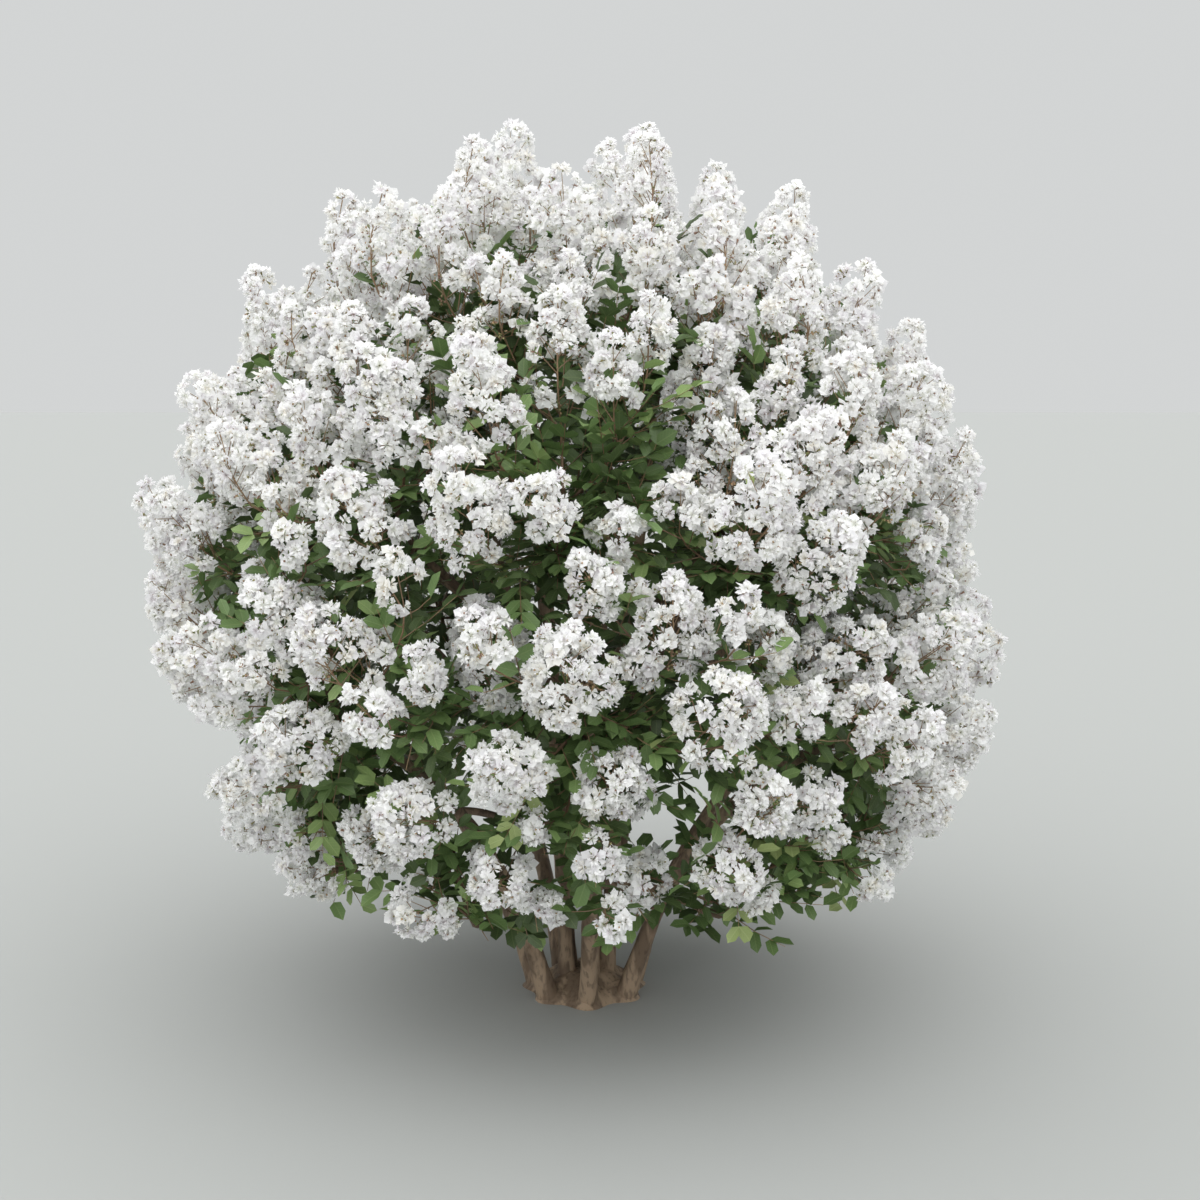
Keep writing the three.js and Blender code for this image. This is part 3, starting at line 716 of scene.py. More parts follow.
def lumps_of(rng, head):
    """The lumps of flowers of a spike: their middles, which way each looks out, where on it, and their size.
    And which of them aren't left out for a bare side."""
    along = np.linspace(0, 1, SPIKE_STEPS + 1)
    radius = np.interp(along, HEAD_ALONG, HEAD_OUT) * head.width / 2
    radius = radius * (1 + HEAD_SWELL * np.sin(2 * np.pi * (HEAD_TIERS * along + rng.uniform())))
    slant = np.hypot(np.gradient(radius), np.gradient(along * head.length))
    area = np.cumsum(2 * np.pi * radius * slant)
    count = max(LUMP.fewest, round(area[-1] / LUMP.area))
    share = (np.arange(count) + 0.5 + rng.uniform(-LUMP.stray, LUMP.stray, count)) / count
    there = np.interp(share, area / area[-1], along)
    turned = np.radians(GOLDEN * np.arange(count)) + rng.uniform(0, 2 * np.pi)
    turned = turned + rng.normal(0, LUMP.turn, count)
    side = around(head.axis, turned, np.full(count, np.pi / 2))
    slope = -np.interp(there, along, np.gradient(radius, along * head.length))
    look = unit(side + head.axis * slope[:, None])
    size = rng.uniform(*LUMP.size, count) * np.interp(there, *zip(*LUMP.shrink))
    out = np.interp(there, along, radius) * rng.uniform(*LUMP.out, count)
    there[-1], out[-1], look[-1] = LUMP.tip, 0, head.axis  # the last one closes the tip
    spot = head.base + head.axis * (there * head.length)[:, None] + side * out[:, None]
    hidden = (side @ head.open_side > BARE.open) & (there < BARE.upper) & (rng.random(count) < BARE.chance)
    lumps = Bundle(spots=spot - look * size[:, None], looks=look, there=there, sizes=size)
    return lumps, ~(hidden & head.bare)


def inside_spike(one, points, share):
    """Which points are inside a spike, when it is drawn in to that share of its thickness."""
    off = points - one.base
    along = np.clip(off @ one.axis / one.length, 0, 1)
    away = np.linalg.norm(off - one.axis * (along * one.length)[:, None], axis=1)
    return away < np.interp(along, HEAD_ALONG, HEAD_OUT) * one.width / 2 * share


def rows_at(rng, spot, ways, reach, depth):
    """Rows of a place that far from the spot each way, by a share drawn from depth, and of the way."""
    return np.hstack([spot + ways * reach * rng.uniform(*depth, (len(ways), 1)), ways])


def grow_flowers(heads, parts):
    """Covers every spike with lumps of open flowers, and puts buds between them and at its stalk."""
    rng = np.random.default_rng(SEEDS.flowers)
    bases = np.array([one.base for one in heads])
    for number, head in enumerate(heads):
        lumps, shown = lumps_of(rng, head)
        surface = lumps.spots + lumps.looks * lumps.sizes[:, None]
        seen_from = unit(unit(surface - UP * CROWN_MIDDLE) + UP * LUMP.seen_above)
        shown &= (lumps.looks * seen_from).sum(1) > LUMP.seen
        for other in np.flatnonzero(np.linalg.norm(bases - head.base, axis=1) < LUMP.neighbours):
            if other != number:
                shown &= ~inside_spike(heads[other], surface, LUMP.core)
        head.lumps = Bundle(**{name: value[shown] for name, value in vars(lumps).items()})
        flowers, buds = [], []
        for spot, look, size in zip(head.lumps.spots, head.lumps.looks, head.lumps.sizes):
            full = FLOWERS.full * (size / FLOWERS.full_size) ** FLOWERS.power
            count = max(FLOWERS.fewest, round(full + rng.uniform(*FLOWERS.stray)))
            turned = 2 * np.pi * (np.arange(count) + rng.uniform()) / max(1, count - 1)
            polar = np.radians(rng.normal(*FLOWERS.polar, count))
            polar[0] = np.radians(rng.uniform(*FLOWERS.first_polar))
            ways = around(look, turned + rng.normal(0, FLOWERS.turn, count), polar)
            flowers.append(rows_at(rng, spot, ways, size, FLOWERS.depth))
            count = int(rng.integers(*BUDS.counts))
            turned = rng.uniform(0, 2 * np.pi, count)
            ways = around(look, turned, np.radians(rng.uniform(*BUDS.polar, count)))
            buds.append(rows_at(rng, spot, ways, size + BUDS.out, BUDS.depth))
        for where, room in head.tufts:
            count = int(rng.integers(*BUDS.tuft_counts))
            ways = unit(rng.normal(0, 1, (count, 3)) + head.open_side)
            buds.append(rows_at(rng, where, ways, room, BUDS.tuft_depth))
        if not flowers:
            continue
        flowers, buds = np.vstack(flowers), np.vstack(buds)
        hearts = flowers[:, :3]
        facings = unit(flowers[:, 3:] + rng.normal(0, FLOWERS.tilt, hearts.shape) + UP * FLOWERS.rise)
        sizes = FLOWERS.size * rng.uniform(*FLOWERS.sizes, len(hearts))
        petals = parts.petals[head.tier]
        put_flowers(petals, rng, RUFFLED, hearts, facings, sizes, pick(rng, FLOWER_TINTS, len(hearts)))
        looks = unit(head.lumps.looks + rng.normal(0, BACK.tilt, head.lumps.looks.shape))
        backs = head.lumps.spots + looks * head.lumps.sizes[:, None] * BACK.depth
        sizes = np.full(len(backs), BACK.size)
        put_flowers(petals, rng, PLAIN, backs, looks, sizes, pick(rng, BACK_TINTS, len(backs)))
        cups = rng.random(len(hearts)) < CUP_SHARE
        tints = pick(rng, CUP_TINTS, cups.sum())
        put_shapes(parts.calyxes, rng, CUP, hearts[cups], facings[cups], 1, tints)
        sizes = BUDS.size * rng.uniform(*BUDS.sizes, len(buds))
        tints = rng.choice(len(CUP_TINTS), len(buds))
        put_shapes(parts.calyxes, rng, BUD, buds[:, :3], buds[:, 3:], sizes, tints)


# ---- twigs


def lay_line(rng, one):
    """The line of a shoot, which bows out where its flower head is bare on its outer side."""
    outward = unit(one.base + one.axis * one.length / 2 - UP * CROWN_MIDDLE)
    one.open_side = unit(outward - one.axis * (outward @ one.axis))
    share = BARE.share * min(1, max(0, BARE.start + BARE.growth * one.level))
    one.bare = bool(one.blooms and rng.random() < share)
    along, out = BARE.lean
    start = unit(one.axis * along * one.length + one.open_side * out * one.width) if one.bare else one.axis
    reach = np.linalg.norm(one.base - one.root)
    lean = one.base - start * (BARE.bend if one.bare else BARE.plain_bend) * reach
    one.line = Bend(one.root, lean + one.open_side * (BARE.bow * one.width * one.bare), one.base)


def spike(rng, head, base, axis, length, width, bare):
    """A spike of flowers on its own stalk, which bows out and shows with tufts of buds if it is bare."""
    share = np.linspace(0, STALK.end, STALK.points)
    bow = np.interp(share, STALK.bow_along, STALK.bow_out) if bare else share * STALK.plain_bow
    stalk = base + axis * (share * length)[:, None] + head.open_side * (bow * width / 2)[:, None]
    last = STALK.points - 1
    if bare:
        where = rng.choice(np.arange(1, last), STALK.bare_tufts, replace=False)
    else:
        where = [int(rng.integers(last - 2, last))]
    out = head.open_side * STALK.tuft_out
    tufts = [(stalk[k] + out, rng.uniform(*STALK.tuft_size) * width) for k in where]
    if not bare and rng.random() < STALK.plain_tufts:
        tufts = []
    return Bundle(
        base=base, axis=axis, length=length, width=width, bare=bare, stalk=stalk, tufts=tufts,
        open_side=head.open_side, tier=head.tier,
    )


def spikes_of(rng, head):
    """The leading spike of a flower head, and the shorter ones that spread from its lower part."""
    spikes = [spike(rng, head, head.base, head.axis, head.length, head.width * LEAD_WIDTH, head.bare)]
    turned = rng.uniform(0, 360)
    for _ in range(up_to(BRANCHES, head.level) if head.length > BRANCHED else 1):
        turned += GOLDEN
        aside = around(head.axis, np.radians([turned]), np.array([np.pi / 2]))[0]
        if head.bare and aside @ head.open_side > BRANCH.open:
            aside = aside - BRANCH.turn_away * (aside @ head.open_side) * head.open_side
        lean = math.radians(rng.uniform(*BRANCH.lean))
        axis = unit(head.axis * math.cos(lean) + aside * math.sin(lean))
        length = head.length * rng.uniform(*BRANCH.length) * (1 - BRANCH.top_shorter * max(0, head.level))
        width = head.width * rng.uniform(*BRANCH.width)
        base = head.base + head.axis * head.length * rng.uniform(*BRANCH.root)
        base = base + aside * BRANCH.out * head.width
        while depth_share(base + axis * length) > 1 and length > BRANCH.shortest:
            length *= BRANCH.cut
        spikes.append(spike(rng, head, base, axis, length, width, False))
    return spikes


def grow_side_heads(shoots, masses):
    """Smaller flower heads on side twigs of the shoots, in the gaps that the heads leave at the surface."""
    rng = np.random.default_rng(SEEDS.side_heads)
    heads = [one for one in shoots if one.blooms]
    hubs = np.array([mass.hub for mass in masses])
    roots = np.concatenate([one.line.at(np.array(SIDE.roots)) for one in shoots])
    added = []
    for k in rng.permutation(SIDE.tries):
        level, height, flat = spot_on_ball(k, SIDE.tries)
        bearing = GOLDEN * k
        size = rng.uniform(*SIDE.size)
        length = size_for(HEAD_LENGTH, level) * size
        width = size_for(HEAD_WIDTH, level) * (size + SIDE.wider)
        depth = rng.uniform(*SIDE.depth) - SIDE.sunk * max(0, level) ** 2
        reach = reach_towards(place(bearing, flat, level)) * depth
        axis = head_axis(bearing, height, flat, rng.normal(0, SIDE.rise), rng.normal(0, SIDE.turn))
        base = place(bearing, flat * reach, CROWN_MIDDLE + level * reach) - axis * length
        sparse = SIDE.window_sparse if window_depth(bearing, height) else up_to(SIDE.sparse, level)
        if rng.random() < sparse:
            continue
        bases, tops, widths = (np.array(x) for x in zip(*[(h.base, top_of(h), h.width) for h in heads]))
        away = np.linalg.norm(way_between(base, base + axis * length, bases, tops), axis=-1)
        near = up_to(SIDE.room, level) * widths + SIDE.own_room * width
        far = SIDE.reach * widths + SIDE.own_reach * width
        if (away < near).any() or (away > far).all():
            continue
        to_root = np.linalg.norm(roots - base + axis * SIDE.below, axis=1)
        if to_root.min() > SIDE.twig:
            continue
        mass = masses[np.linalg.norm(hubs - base, axis=1).argmin()]
        one = Bundle(base=base, axis=axis, length=length, width=width, blooms=True, level=level)
        one.root, one.tier = roots[to_root.argmin()], mass.tier
        heads.append(one)
        added.append(one)
    return added


def grow_twigs(masses, shoots, side_heads, spikes, twigs):
    """Leaders, shoots, the stalks of the flower heads and the branchlets to their lumps of flowers."""
    share = np.linspace(0, 1, TWIG_POINTS)
    rows = [
        ([mass.leader.at(share) for mass in masses], LEADER_TWIG, 0),
        ([one.line.at(share) for one in shoots], SHOOT_TWIG, 1),
        ([one.line.at(share[::2]) for one in side_heads], SIDE_TWIG, 1),
        ([one.stalk for one in spikes if one.bare], STALK_TWIG, 2),
        ([one.stalk for one in spikes if not one.bare], PLAIN_STALK_TWIG, 2),
    ]
    for lines, (thick, thin, sides), finish in rows:
        lines = np.array(lines)
        tubes(twigs, lines, mix(thick, thin, np.linspace(0, 1, lines.shape[1])), sides, finish)
    last = STALK.points - 1
    for one in spikes:
        some = slice(None, None, 1 if one.bare else 2)
        there = np.clip(one.lumps.there[some] - STALK.sunk, *STALK.forks) / STALK.end * last
        lower = np.minimum(there.astype(int), last - 1)
        start = mix(one.stalk[lower], one.stalk[lower + 1], (there - lower)[:, None])
        tubes(twigs, np.stack([start, one.lumps.spots[some]], 1), *BRANCHLET, 2)


# ---- leaves

# A blade of six faces, one long and one wide: its midrib, then its left and its right edge.
LEAF_PLAN = np.array([(0, 0), (0, 0.5), (0, 1), (-0.41, 0.26), (-0.42, 0.76), (0.41, 0.26), (0.42, 0.76)])
LEAF_FACES = np.array([(0, 1, 3), (3, 1, 4), (1, 2, 4), (0, 5, 1), (5, 6, 1), (1, 6, 2)])
LEAF_POINTS = np.column_stack([LEAF_PLAN, LEAF.fold * np.abs(LEAF_PLAN[:, 0])])
LEAF_ARCH = -LEAF.arch * LEAF_PLAN[:, 1] ** 2
LEAF_FLAT = LEAF_PLAN * (LEAF.flat_width, 1) + (0.5, 0)


def put_leaves(heap, rng, roots, ways, ups, lengths, tints):
    """Leaves from their roots along those ways, with the way that their upper side faces."""
    ways = unit(ways)
    side = unit(np.cross(ways, ups))
    width = LEAF.width / LEAF.length * rng.uniform(*LEAF.widths, len(roots))
    arch = LEAF_ARCH * rng.uniform(*LEAF.arches, len(roots))[:, None]
    shape = np.broadcast_to(LEAF_POINTS, (len(roots), *LEAF_POINTS.shape)).copy()
    shape[..., 0] *= width[:, None]
    shape[..., 2] = shape[..., 2] * width[:, None] + arch
    shape *= lengths[:, None, None]
    basis = np.stack([side, ways, np.cross(side, ways)], 1)
    heap.add(roots[:, None] + shape @ basis, LEAF_FACES, LEAF_FLAT, tints)


def leaf_pairs(rng, line, first, last, step, quarter, up):
    """Rows of opposite leaves along a line: root, way and upper side. With quarter, each pair is turned a
    quarter round the twig from the last, and otherwise they make a flat spray."""
    count = max(1, round((last - first) * line.length / step))
    share = np.linspace(first, last, count)
    roots, along = line.at(share), line.way(share)
    level = unit(np.cross(along, up))
    turned = np.radians(rng.normal(0, LEAF_WAY.turn_stray, count))
    turned = turned + (np.arange(count) % 2) * (np.pi / 2 * quarter)
    lifted = np.cross(level, along)
    across = turn_pair(level, lifted, turned)[0]
    rows = []
    for side in (1, -1):
        spread = np.radians(mix(*LEAF_WAY.spread, share) + rng.normal(0, LEAF_WAY.spread_stray, count))
        way = turn_pair(along, across * side, spread)[0] + rng.normal(0, LEAF_WAY.stray, along.shape)
        up_side = lifted + UP * LEAF_WAY.up + rng.normal(0, LEAF_WAY.up_stray, along.shape)
        rows.append((roots, way, up_side))
    return [np.concatenate(x) for x in zip(*rows)]


def grow_sprigs(rng, line, first, last, step, longest, found):
    """Side twigs along a line, each with a flat spray of leaves. Adds the twigs and the leaves to found."""
    count = max(1, round((last - first) * line.length / step))
    shares = mix(first, last, (np.arange(count) + rng.uniform(*SPRIG.within, count)) / count)
    roots, alongs = line.at(shares), line.way(shares)
    turned = GOLDEN * np.arange(count) + rng.uniform(0, 360) + rng.normal(0, SPRIG.stray, count)
    across = frames_for(alongs, np.radians(turned))[0]
    outward = unit(roots - UP * CROWN_MIDDLE)
    ways = unit(alongs * SPRIG.along + across * SPRIG.aside + UP * SPRIG.up + outward * SPRIG.outward)
    lengths = rng.uniform(*SPRIG.length, count) * longest
    for root, way, out, length in zip(roots, ways, outward, lengths):
        for share in SPRIG.cuts:
            tip = root + way * length * share
            if LEAVES.deepest < depth_share(tip) < LEAVES.outermost and tip[2] > LEAVES.lowest:
                break
        else:
            continue
        twig = Bend(root, root + way * length * share * SPRIG.bend - UP * SPRIG.sag * length, tip)
        found.twigs.append(twig.at(np.linspace(0, 1, 3)))
        up = unit(UP + out * SPRIG.spray_outward + rng.normal(0, SPRIG.spray_stray, 3))
        # painted shade: a spray that ends deep in the crown gets more of the darker greens
        greens = OUTER_GREENS if depth_share(tip) > OUTER_FROM else SHADED_INNER_GREENS
        rows = leaf_pairs(rng, twig, SPRIG.first_leaf, 1, LEAF_STEP.sprig, False, up)
        found.leaves.append((*rows, pick(rng, greens), LEAVES.outermost))


def grow_leaves(masses, shoots, side_heads, spikes, limbs, bars, parts):
    """Leaves on every shoot, leader and limb, and on the side twigs that they bear."""
    rng = np.random.default_rng(SEEDS.leaves)
    found = Bundle(twigs=[], leaves=[])
    for one in shoots:
        dense, last = (1, 0.97) if one.blooms else (LEAF_STEP.leafy, 1)
        rows = leaf_pairs(rng, one.line, 0.12, last, LEAF_STEP.shoot * dense, True, UP)
        found.leaves.append((*rows, pick(rng, OUTER_GREENS), LEAVES.outermost))
        grow_sprigs(rng, one.line, 0.05, last, SPRIG.step * dense, 1, found)
        if one.blooms and one.bare:
            stalk = one.spikes[0].stalk
            line = Bend(stalk[0], stalk[1], stalk[3])
            rows = leaf_pairs(rng, line, 0.1, 0.8, LEAF_STEP.stalk, False, one.axis)
            found.leaves.append((*rows, pick(rng, OUTER_GREENS), LEAVES.stalk_outermost))
    # More lines that bear sprigs: from where to where on them, the step between sprigs, and their length.
    bearing = [(one.line, 0.1, 0.95, 1, 0.8) for one in side_heads]
    bearing += [(mass.leader, 0.05, 1, 1.1, 1.1) for mass in masses]
    bearing += [(one.curve, 0.56, 0.98, 1.15, 1.2) for one in limbs]
    for line, first, last, step, longest in bearing:
        grow_sprigs(rng, line, first, last, SPRIG.step * step, longest, found)
    roots, ways, ups = (np.concatenate([row[i] for row in found.leaves]) for i in range(3))
    counts = [len(row[0]) for row in found.leaves]
    tints, outermost = (np.repeat([row[i] for row in found.leaves], counts) for i in (3, 4))
    lengths = LEAF.length * rng.uniform(*LEAF.lengths, len(roots))
    tips = roots + unit(ways) * lengths[:, None]
    keep = (depth_share(tips) < outermost) & (tips[:, 2] > LEAVES.lowest)
    keep &= outside_spikes(spikes, mix(roots, tips, LEAVES.middle))
    keep &= clear_of(bars, mix(roots, tips, LEAVES.free), tips, LEAVES.room)
    put_leaves(parts.leaves, rng, *[x[keep] for x in (roots, ways, ups, lengths, tints)])
    paths = np.array(found.twigs)
    tubes(parts.twigs, paths, *SPRIG_TWIG, rng.choice((1, 2), len(paths)))


def outside_spikes(spikes, points):
    """Which points are not among the flowers of a spike."""
    keep = np.ones(len(points), bool)
    for one in spikes:
        near = keep & (np.linalg.norm(points - one.base, axis=1) < one.length + LEAF.length)
        keep[near] = ~inside_spike(one, points[near], LEAF.core)
    return keep


# ---- bark


def soft_noise(rng, around, along, sides, rings):
    """A smooth random field over a limb that closes round it: values from 0 to 1 at around and along, which
    go from 0 to 1, with that many patches each way."""
    grid = rng.random((rings + 1, sides))
    x, y = around * sides, along * rings
    i, j = np.floor(x).astype(int), np.minimum(np.floor(y).astype(int), rings - 1)
    fx, fy = x - i, y - j
    fx, fy = fx * fx * (3 - 2 * fx), fy * fy * (3 - 2 * fy)
    i, k = i % sides, (i + 1) % sides
    return mix(mix(grid[j, i], grid[j, k], fx), mix(grid[j + 1, i], grid[j + 1, k], fx), fy)


def bark_limb(heap, rng, paths, radii, sides, depth):
    """A limb with sinewy flutes and thin plates of bark that have not yet peeled off."""
    ways = unit(np.gradient(paths, axis=0))
    first = np.cross(ways[0], FRONT)
    across = unit(first - ways * (ways @ first)[:, None])
    other = np.cross(ways, across)
    around, along = np.meshgrid(np.arange(sides) / sides, np.linspace(0, 1, len(paths)))
    span = np.linalg.norm(np.diff(paths, axis=0), axis=1).sum()
    angle = around * 2 * np.pi
    starts = rng.uniform(0, 2 * np.pi, 3)
    flutes = sum(high * np.sin(k * angle + s + wind * along) for (high, k, wind), s in zip(FLUTES, starts))
    swell = SWELL.high * np.sin(span / SWELL.span * along + starts[2])
    plates = soft_noise(rng, around, along, PLATE.sides, max(3, round(span / PLATE.span)))
    raised = np.clip((plates - PLATE.edge) * PLATE.steep, 0, 1) * depth
    rough = soft_noise(rng, around, along, sides // 2, max(3, round(span / ROUGH.span)))
    out = radii[:, None] * (1 + flutes + swell) + raised + (rough - 0.5) * depth * ROUGH.high
    rim = across[:, None] * np.cos(angle)[..., None] + other[:, None] * np.sin(angle)[..., None]
    points = paths[:, None] + rim * out[..., None]
    points[..., 2] = np.maximum(points[..., 2], 0)
    heap.add_tubes(points[None], 0)


def grow_bark(stems, boughs, parts):
    """Stems that flare down into the root crown, and boughs with a collar where they fork off."""
    rng = np.random.default_rng(SEEDS.bark)
    for stem in stems:
        count = round(stem.curve.length / STEM.step)
        upper = stem.curve.at(np.linspace(0, 1, count))
        share = np.linspace(0, 1, STEM.flare_rings)[:-1]
        lower = mix(stem.foot - stem.curve.way(0.0) * STEM.sunk, upper[0], share[:, None])
        flare = mix(ROOT_CROWN.flare, 1, share ** STEM.flare_power) * stem.thick
        radii = np.concatenate([flare, mix(stem.thick, stem.thin, np.linspace(0, 1, count))])
        bark_limb(parts.stems, rng, np.vstack([lower, upper]), radii, STEM.sides, STEM.bark)
    for bough in boughs:
        share = np.linspace(0, 1, round(bough.curve.length / BOUGH_BARK.step))
        collar = 1 + BOUGH_BARK.collar * np.exp(-share / BOUGH_BARK.collar_span)
        radii = mix(bough.thick, bough.thin, share) * collar
        bark_limb(parts.boughs, rng, bough.curve.at(share), radii, BOUGH_BARK.sides, BOUGH_BARK.bark)
    root_crown(parts.stems, rng, stems)


def root_crown(heap, rng, stems):
    """A low lobed mound that the stems rise from, flat underneath."""
    around, inward = np.meshgrid(np.arange(MOUND.sides) / MOUND.sides, np.linspace(0, 1, MOUND.rings))
    angle = around * 2 * np.pi
    lobes = np.cos(OUTER.count * (angle - math.radians(OUTER.turn)))
    rim = MOUND.rim + MOUND.lobe * lobes * (1 - inward) + MOUND.wave * np.sin(4 * angle + 2)
    out = ROOT_CROWN.radius * rim * (1 - inward)
    rise = np.clip(inward / MOUND.slope, 0, 1)
    height = ROOT_CROWN.height * (MOUND.steep * np.sqrt(rise) + MOUND.round * rise ** MOUND.power)
    x, y = out * np.sin(angle), -out * np.cos(angle)
    for stem in stems:
        away = np.hypot(x - stem.foot[0], y - stem.foot[1])
        bump = MOUND.stem_high * np.exp(-((away / MOUND.stem_wide) ** 2))
        height = height + bump * np.clip(inward / MOUND.edge, 0, 1)
    height = height + (soft_noise(rng, around, inward, *MOUND.patches) - 0.5) * MOUND.rough * (inward > 0)
    heap.add_tubes(np.stack([x, y, np.maximum(height, 0) * (inward > 0)], -1)[None], 0)


# ---- materials

VEINS = 7  # along a leaf, on each side of its midrib
PETAL_WHITES = ("#ffffff", "#fbfbfb", "#f5f4f6", "#faf9f5")
PETAL_CLAWS = ("#dddfd2", "#d6d3cf", "#cfc6ca", "#ddd5c4")
# leaf greens from dark to pale, partly the leaves' own tones; dealt by depth, the darker ones paint the
# shade inside the crown
LEAF_GREENS = ("#475834", "#566d3f", "#66804d", "#769058", "#879f63", "#98a86c")
LEAF_RIBS = ("#67774b", "#798a59", "#899b66", "#99ab71", "#a7b97e", "#b7c28a")
CALYX_COLOURS = ("#77704a", "#7d6252", "#94795a", "#6b6e48")
CALYX_TIPS = ("#8f8a5c", "#9a7a68", "#b09674", "#858a58")
TWIG_COLOURS = ("#665444", "#755f4c", "#876f57")
TWIG_TIPS = ("#776350", "#886d54", "#9a8160")


def linear(code):
    """A linear colour from an sRGB hex code."""
    parts = [int(code[k : k + 2], 16) / 255 for k in (1, 3, 5)]
    return [c / 12.92 if c <= 0.04045 else ((c + 0.055) / 1.055) ** 2.4 for c in parts] + [1]


def add(tree, kind, inputs=(), **settings):
    """Adds a node with its settings, gives its sockets values or other nodes' outputs, and returns its own
    outputs. inputs: by the sockets' names or numbers, or else in their order, which for a map range is the
    value, from and to of what comes in, and from and to of what goes out."""
    node = tree.nodes.new("ShaderNode" + kind)
    for name, value in settings.items():
        setattr(node, name, value)
    for name, value in inputs.items() if isinstance(inputs, dict) else enumerate(inputs):
        if isinstance(value, bpy.types.NodeSocket):
            tree.links.new(value, node.inputs[name])
        else:
            node.inputs[name].default_value = value
    return node.outputs


def new_material(name):
    material = bpy.data.materials.new(name)
    material.use_nodes = True
    material.node_tree.nodes.clear()
    return material, material.node_tree


def blended(tree, share, a, b):
    """The colour between a and b at that share."""
    return add(tree, "Mix", {0: share, 6: a, 7: b}, data_type="RGBA")[2]


def patch_place(tree, variant, variants):
    """Where a point lies on the pattern of its kind: across it and along it, each from 0 to 1."""
    spot = add(tree, "UVMap", uv_map=SHARED_MAP)[0]
    spot = add(tree, "Mapping", {"Vector": spot, "Location": (-variant, 0, 0), "Scale": (variants, 1, 1)})[0]
    across, along, _ = add(tree, "SeparateXYZ", [spot])
    return Bundle(spot=spot, across=across, along=along)


def thin_surface(tree, principled, colour, share):
    """Lets part of the light through, as a petal or a leaf does."""
    through = add(tree, "BsdfTranslucent", {"Color": colour})[0]
    both = add(tree, "MixShader", [share, principled, through])[0]
    add(tree, "OutputMaterial", {"Surface": both})


def petal_material(name, code, claw, variant, variants):
    """Crape myrtle petal: thin crinkled tissue, matt and bright, duller on its claw near the heart."""
    material, tree = new_material(name)
    patch = patch_place(tree, variant, variants)
    near = add(tree, "MapRange", [patch.along, 0.08, 0.5, 1.0, 0.0])[0]
    colour = blended(tree, near, linear(code), linear(claw))
    creases = add(tree, "TexWave", {
        "Vector": patch.spot, "Scale": 1.6, "Distortion": 2.5, "Detail": 2.0, "Detail Scale": 2.0,
    }, wave_type="BANDS", bands_direction="X")["Fac"]
    bump = add(tree, "Bump", {"Strength": 0.35, "Distance": 0.0006, "Height": creases})[0]
    principled = add(tree, "BsdfPrincipled", {
        "Base Color": colour, "Roughness": 0.62, "IOR": 1.4, "Sheen Weight": 0.12, "Normal": bump,
    })[0]
    thin_surface(tree, principled, colour, 0.5)
    return material


def leaf_material(name, code, rib, variant, variants):
    """Crape myrtle leaf: leathery and half glossy, with a paler midrib and side veins pressed into it."""
    material, tree = new_material(name)
    patch = patch_place(tree, variant, variants)
    off = add(tree, "Math", [patch.across, 0.5], operation="SUBTRACT")[0]
    off = add(tree, "Math", [off], operation="ABSOLUTE")[0]
    midrib = add(tree, "MapRange", [off, 0.01, 0.05, 1.0, 0.0])[0]
    slope = add(tree, "Math", [off, -0.55, patch.along], operation="MULTIPLY_ADD")[0]
    beat = add(tree, "Math", [slope, 2 * math.pi * VEINS], operation="MULTIPLY")[0]
    veins = add(tree, "Math", [beat], operation="SINE")[0]
    veins = add(tree, "MapRange", [veins, 0.8, 1.0, 0.0, 0.5])[0]
    lines = add(tree, "Math", [midrib, veins], operation="MAXIMUM")[0]
    pale = add(tree, "Math", [lines, 0.45], operation="MULTIPLY")[0]
    colour = blended(tree, pale, linear(code), linear(rib))
    bump = add(tree, "Bump", {"Strength": 0.5, "Distance": 0.0006, "Height": lines}, invert=True)[0]
    principled = add(tree, "BsdfPrincipled", {
        "Base Color": colour, "Roughness": 0.42, "IOR": 1.45, "Normal": bump,
    })[0]
    thin_surface(tree, principled, colour, 0.2)
    return material


def stalk_material(name, code, tip_code, variant, variants, roughness):
    """Green or red-brown young tissue of stalks, cups and buds: smooth with a faint waxy bloom."""
    material, tree = new_material(name)
    patch = patch_place(tree, variant, variants)
    share = add(tree, "MapRange", [patch.along, 0.35, 1.0, 0.0, 1.0])[0]
    colour = blended(tree, share, linear(code), linear(tip_code))
    principled = add(tree, "BsdfPrincipled", {"Base Color": colour, "Roughness": roughness, "IOR": 1.45})[0]
    add(tree, "OutputMaterial", {"Surface": principled})
    return material


def bark_material(name, base, patch, crack, patch_size, roughness):
    """Crape myrtle bark: smooth and hard, in long patches where strips have peeled off the paler wood."""
    material, tree = new_material(name)
    spot = add(tree, "TexCoord")["Object"]
    stretched = add(tree, "Mapping", {"Vector": spot, "Scale": (1, 1, 0.28)})[0]
    scale = 1 / (patch_size * MM)
    patches = add(tree, "TexNoise", {"Vector": stretched, "Scale": scale, "Detail": 3.0})[0]
    where = add(tree, "MapRange", [patches, 0.46, 0.56, 0.0, 1.0])[0]
    colour = blended(tree, where, linear(base), linear(patch))
    grain = add(tree, "TexNoise", {"Vector": stretched, "Scale": scale * 5, "Detail": 4.0})[0]
    dark = add(tree, "MapRange", [grain, 0.35, 0.5, 0.5, 0.0])[0]
    colour = blended(tree, dark, colour, linear(crack))
    height = add(tree, "Math", [where, grain], operation="ADD")[0]
    bump = add(tree, "Bump", {"Strength": 0.5, "Distance": 0.0012, "Height": height})[0]
    principled = add(tree, "BsdfPrincipled", {
        "Base Color": colour, "Roughness": roughness, "IOR": 1.5, "Normal": bump,
    })[0]
    add(tree, "OutputMaterial", {"Surface": principled})
    return material


def variants_of(make, name, *codes, **settings):
    """One material for each set of colours. They share the map of their piece, side by side."""
    sets = list(zip(*codes))
    return [make(f"{name}_{k + 1}", *row, k, len(sets), **settings) for k, row in enumerate(sets)]


# ---- the plant

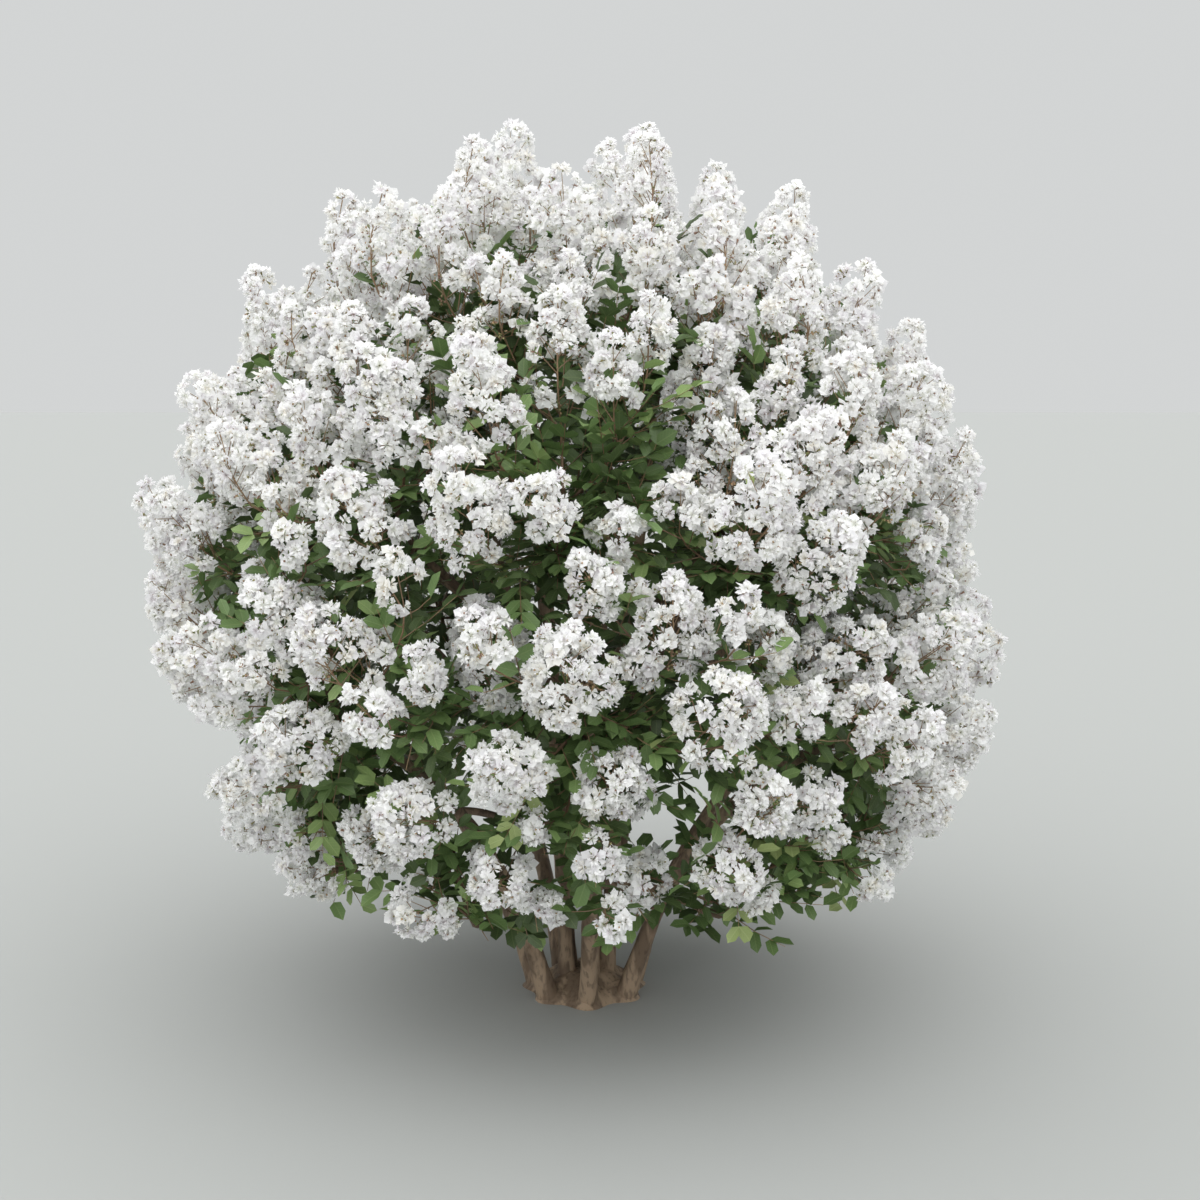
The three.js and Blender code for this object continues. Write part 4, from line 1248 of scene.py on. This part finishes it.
petals = variants_of(petal_material, "petal_white", PETAL_WHITES, PETAL_CLAWS)
parts = Bundle(
    petals={tier: Heap(petals) for tier in TIERS},
    leaves=Heap(variants_of(leaf_material, "leaf_green", LEAF_GREENS, LEAF_RIBS)),
    calyxes=Heap(variants_of(stalk_material, "calyx", CALYX_COLOURS, CALYX_TIPS, roughness=0.55)),
    twigs=Heap(variants_of(stalk_material, "twig", TWIG_COLOURS, TWIG_TIPS, roughness=0.6)),
    stems=Heap([bark_material("peeling_bark", "#73614f", "#9d8871", "#42372d", 42, 0.72)]),
    boughs=Heap([bark_material("young_bark", "#6a5748", "#87725e", "#42362c", 26, 0.66)]),
)

stems, boughs, masses = grow_limbs()
limbs = stems + boughs
bars = Bundle(**{
    name: np.concatenate([getattr(one.bars, name) for one in limbs]) for name in ("start", "end", "radius")
})
shoots = grow_shoots(masses, bars)
rng = np.random.default_rng(SEEDS.lines)
for one in shoots:
    lay_line(rng, one)
side_heads = grow_side_heads(shoots, masses)
for one in side_heads:
    lay_line(rng, one)
spikes = []
for one in shoots + side_heads:
    if one.blooms:
        one.spikes = spikes_of(rng, one)
        spikes += one.spikes
grow_flowers(spikes, parts)
spikes = [one for one in spikes if len(one.lumps.spots)]
grow_twigs(masses, shoots, side_heads, spikes, parts.twigs)
grow_leaves(masses, shoots, side_heads, spikes, limbs, bars, parts)
grow_bark(stems, boughs, parts)


def finished(heap, name, smooth, nodes):
    """Joins a heap into a piece that rides on the plant and stands for those solids."""
    made = heap.piece(name, smooth)
    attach(made, "root")
    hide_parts(*nodes)


for tier in TIERS:
    nodes = [mass.name for mass in masses if mass.tier == tier]
    finished(parts.petals[tier], f"{tier}_petals", False, nodes)
nodes = [mass.name for mass in masses]
finished(parts.leaves, "leaves", True, nodes)
finished(parts.calyxes, "calyxes_and_buds", False, nodes)
finished(parts.twigs, "twigs", True, nodes)
finished(parts.stems, "stem_bark", True, ["root_crown"] + [one.name for one in stems])
finished(parts.boughs, "bough_bark", True, [one.name for one in boughs])

# ---- floor, light and camera

FLOOR_HALF = 30  # in metres, as are the places below
CAMERA_PLACE = (0.035, -4.2, 1.55)
CAMERA_DIP = 8.4
CAMERA_LENS = 55.4
CAMERA_SENSOR = 36
WORLD_COLOUR = "#e6e8e8"
WORLD_STRENGTH = 0.82


def pale_floor():
    mesh = bpy.data.meshes.new("floor")
    corners = [(x * FLOOR_HALF, y * FLOOR_HALF, 0) for x, y in ((-1, -1), (1, -1), (1, 1), (-1, 1))]
    mesh.from_pydata(corners, [], [(0, 1, 2, 3)])
    floor = put_object("floor", mesh)
    material, tree = new_material("studio_floor")
    principled = add(tree, "BsdfPrincipled", {"Base Color": linear("#9fa19f"), "Roughness": 0.9})[0]
    add(tree, "OutputMaterial", {"Surface": principled})
    mesh.materials.append(material)


def far_light(name, bearing, height, spread, strength):
    """A large soft light far away, which shines evenly from that bearing and height."""
    data = bpy.data.lights.new(name, "SUN")
    data.angle = math.radians(spread)
    data.energy = strength
    put_object(name, data).rotation_euler = (math.radians(90 - height), 0, math.radians(bearing))


def studio():
    world = bpy.data.worlds.new("studio")
    world.use_nodes = True
    colour, strength = world.node_tree.nodes["Background"].inputs[:2]
    colour.default_value, strength.default_value = linear(WORLD_COLOUR), WORLD_STRENGTH
    bpy.context.scene.world = world
    far_light("overhead", -30, 72, 120, 3.0)
    far_light("front", 10, 22, 110, 1.1)


def camera():
    data = bpy.data.cameras.new("camera")
    data.sensor_width = CAMERA_SENSOR
    data.lens = CAMERA_LENS
    view = put_object("camera", data)
    view.location = CAMERA_PLACE
    view.rotation_euler = (math.radians(90 - CAMERA_DIP), 0, 0)
    bpy.context.scene.camera = view


pale_floor()
studio()
camera()
bpy.context.scene.view_settings.view_transform = "Standard"
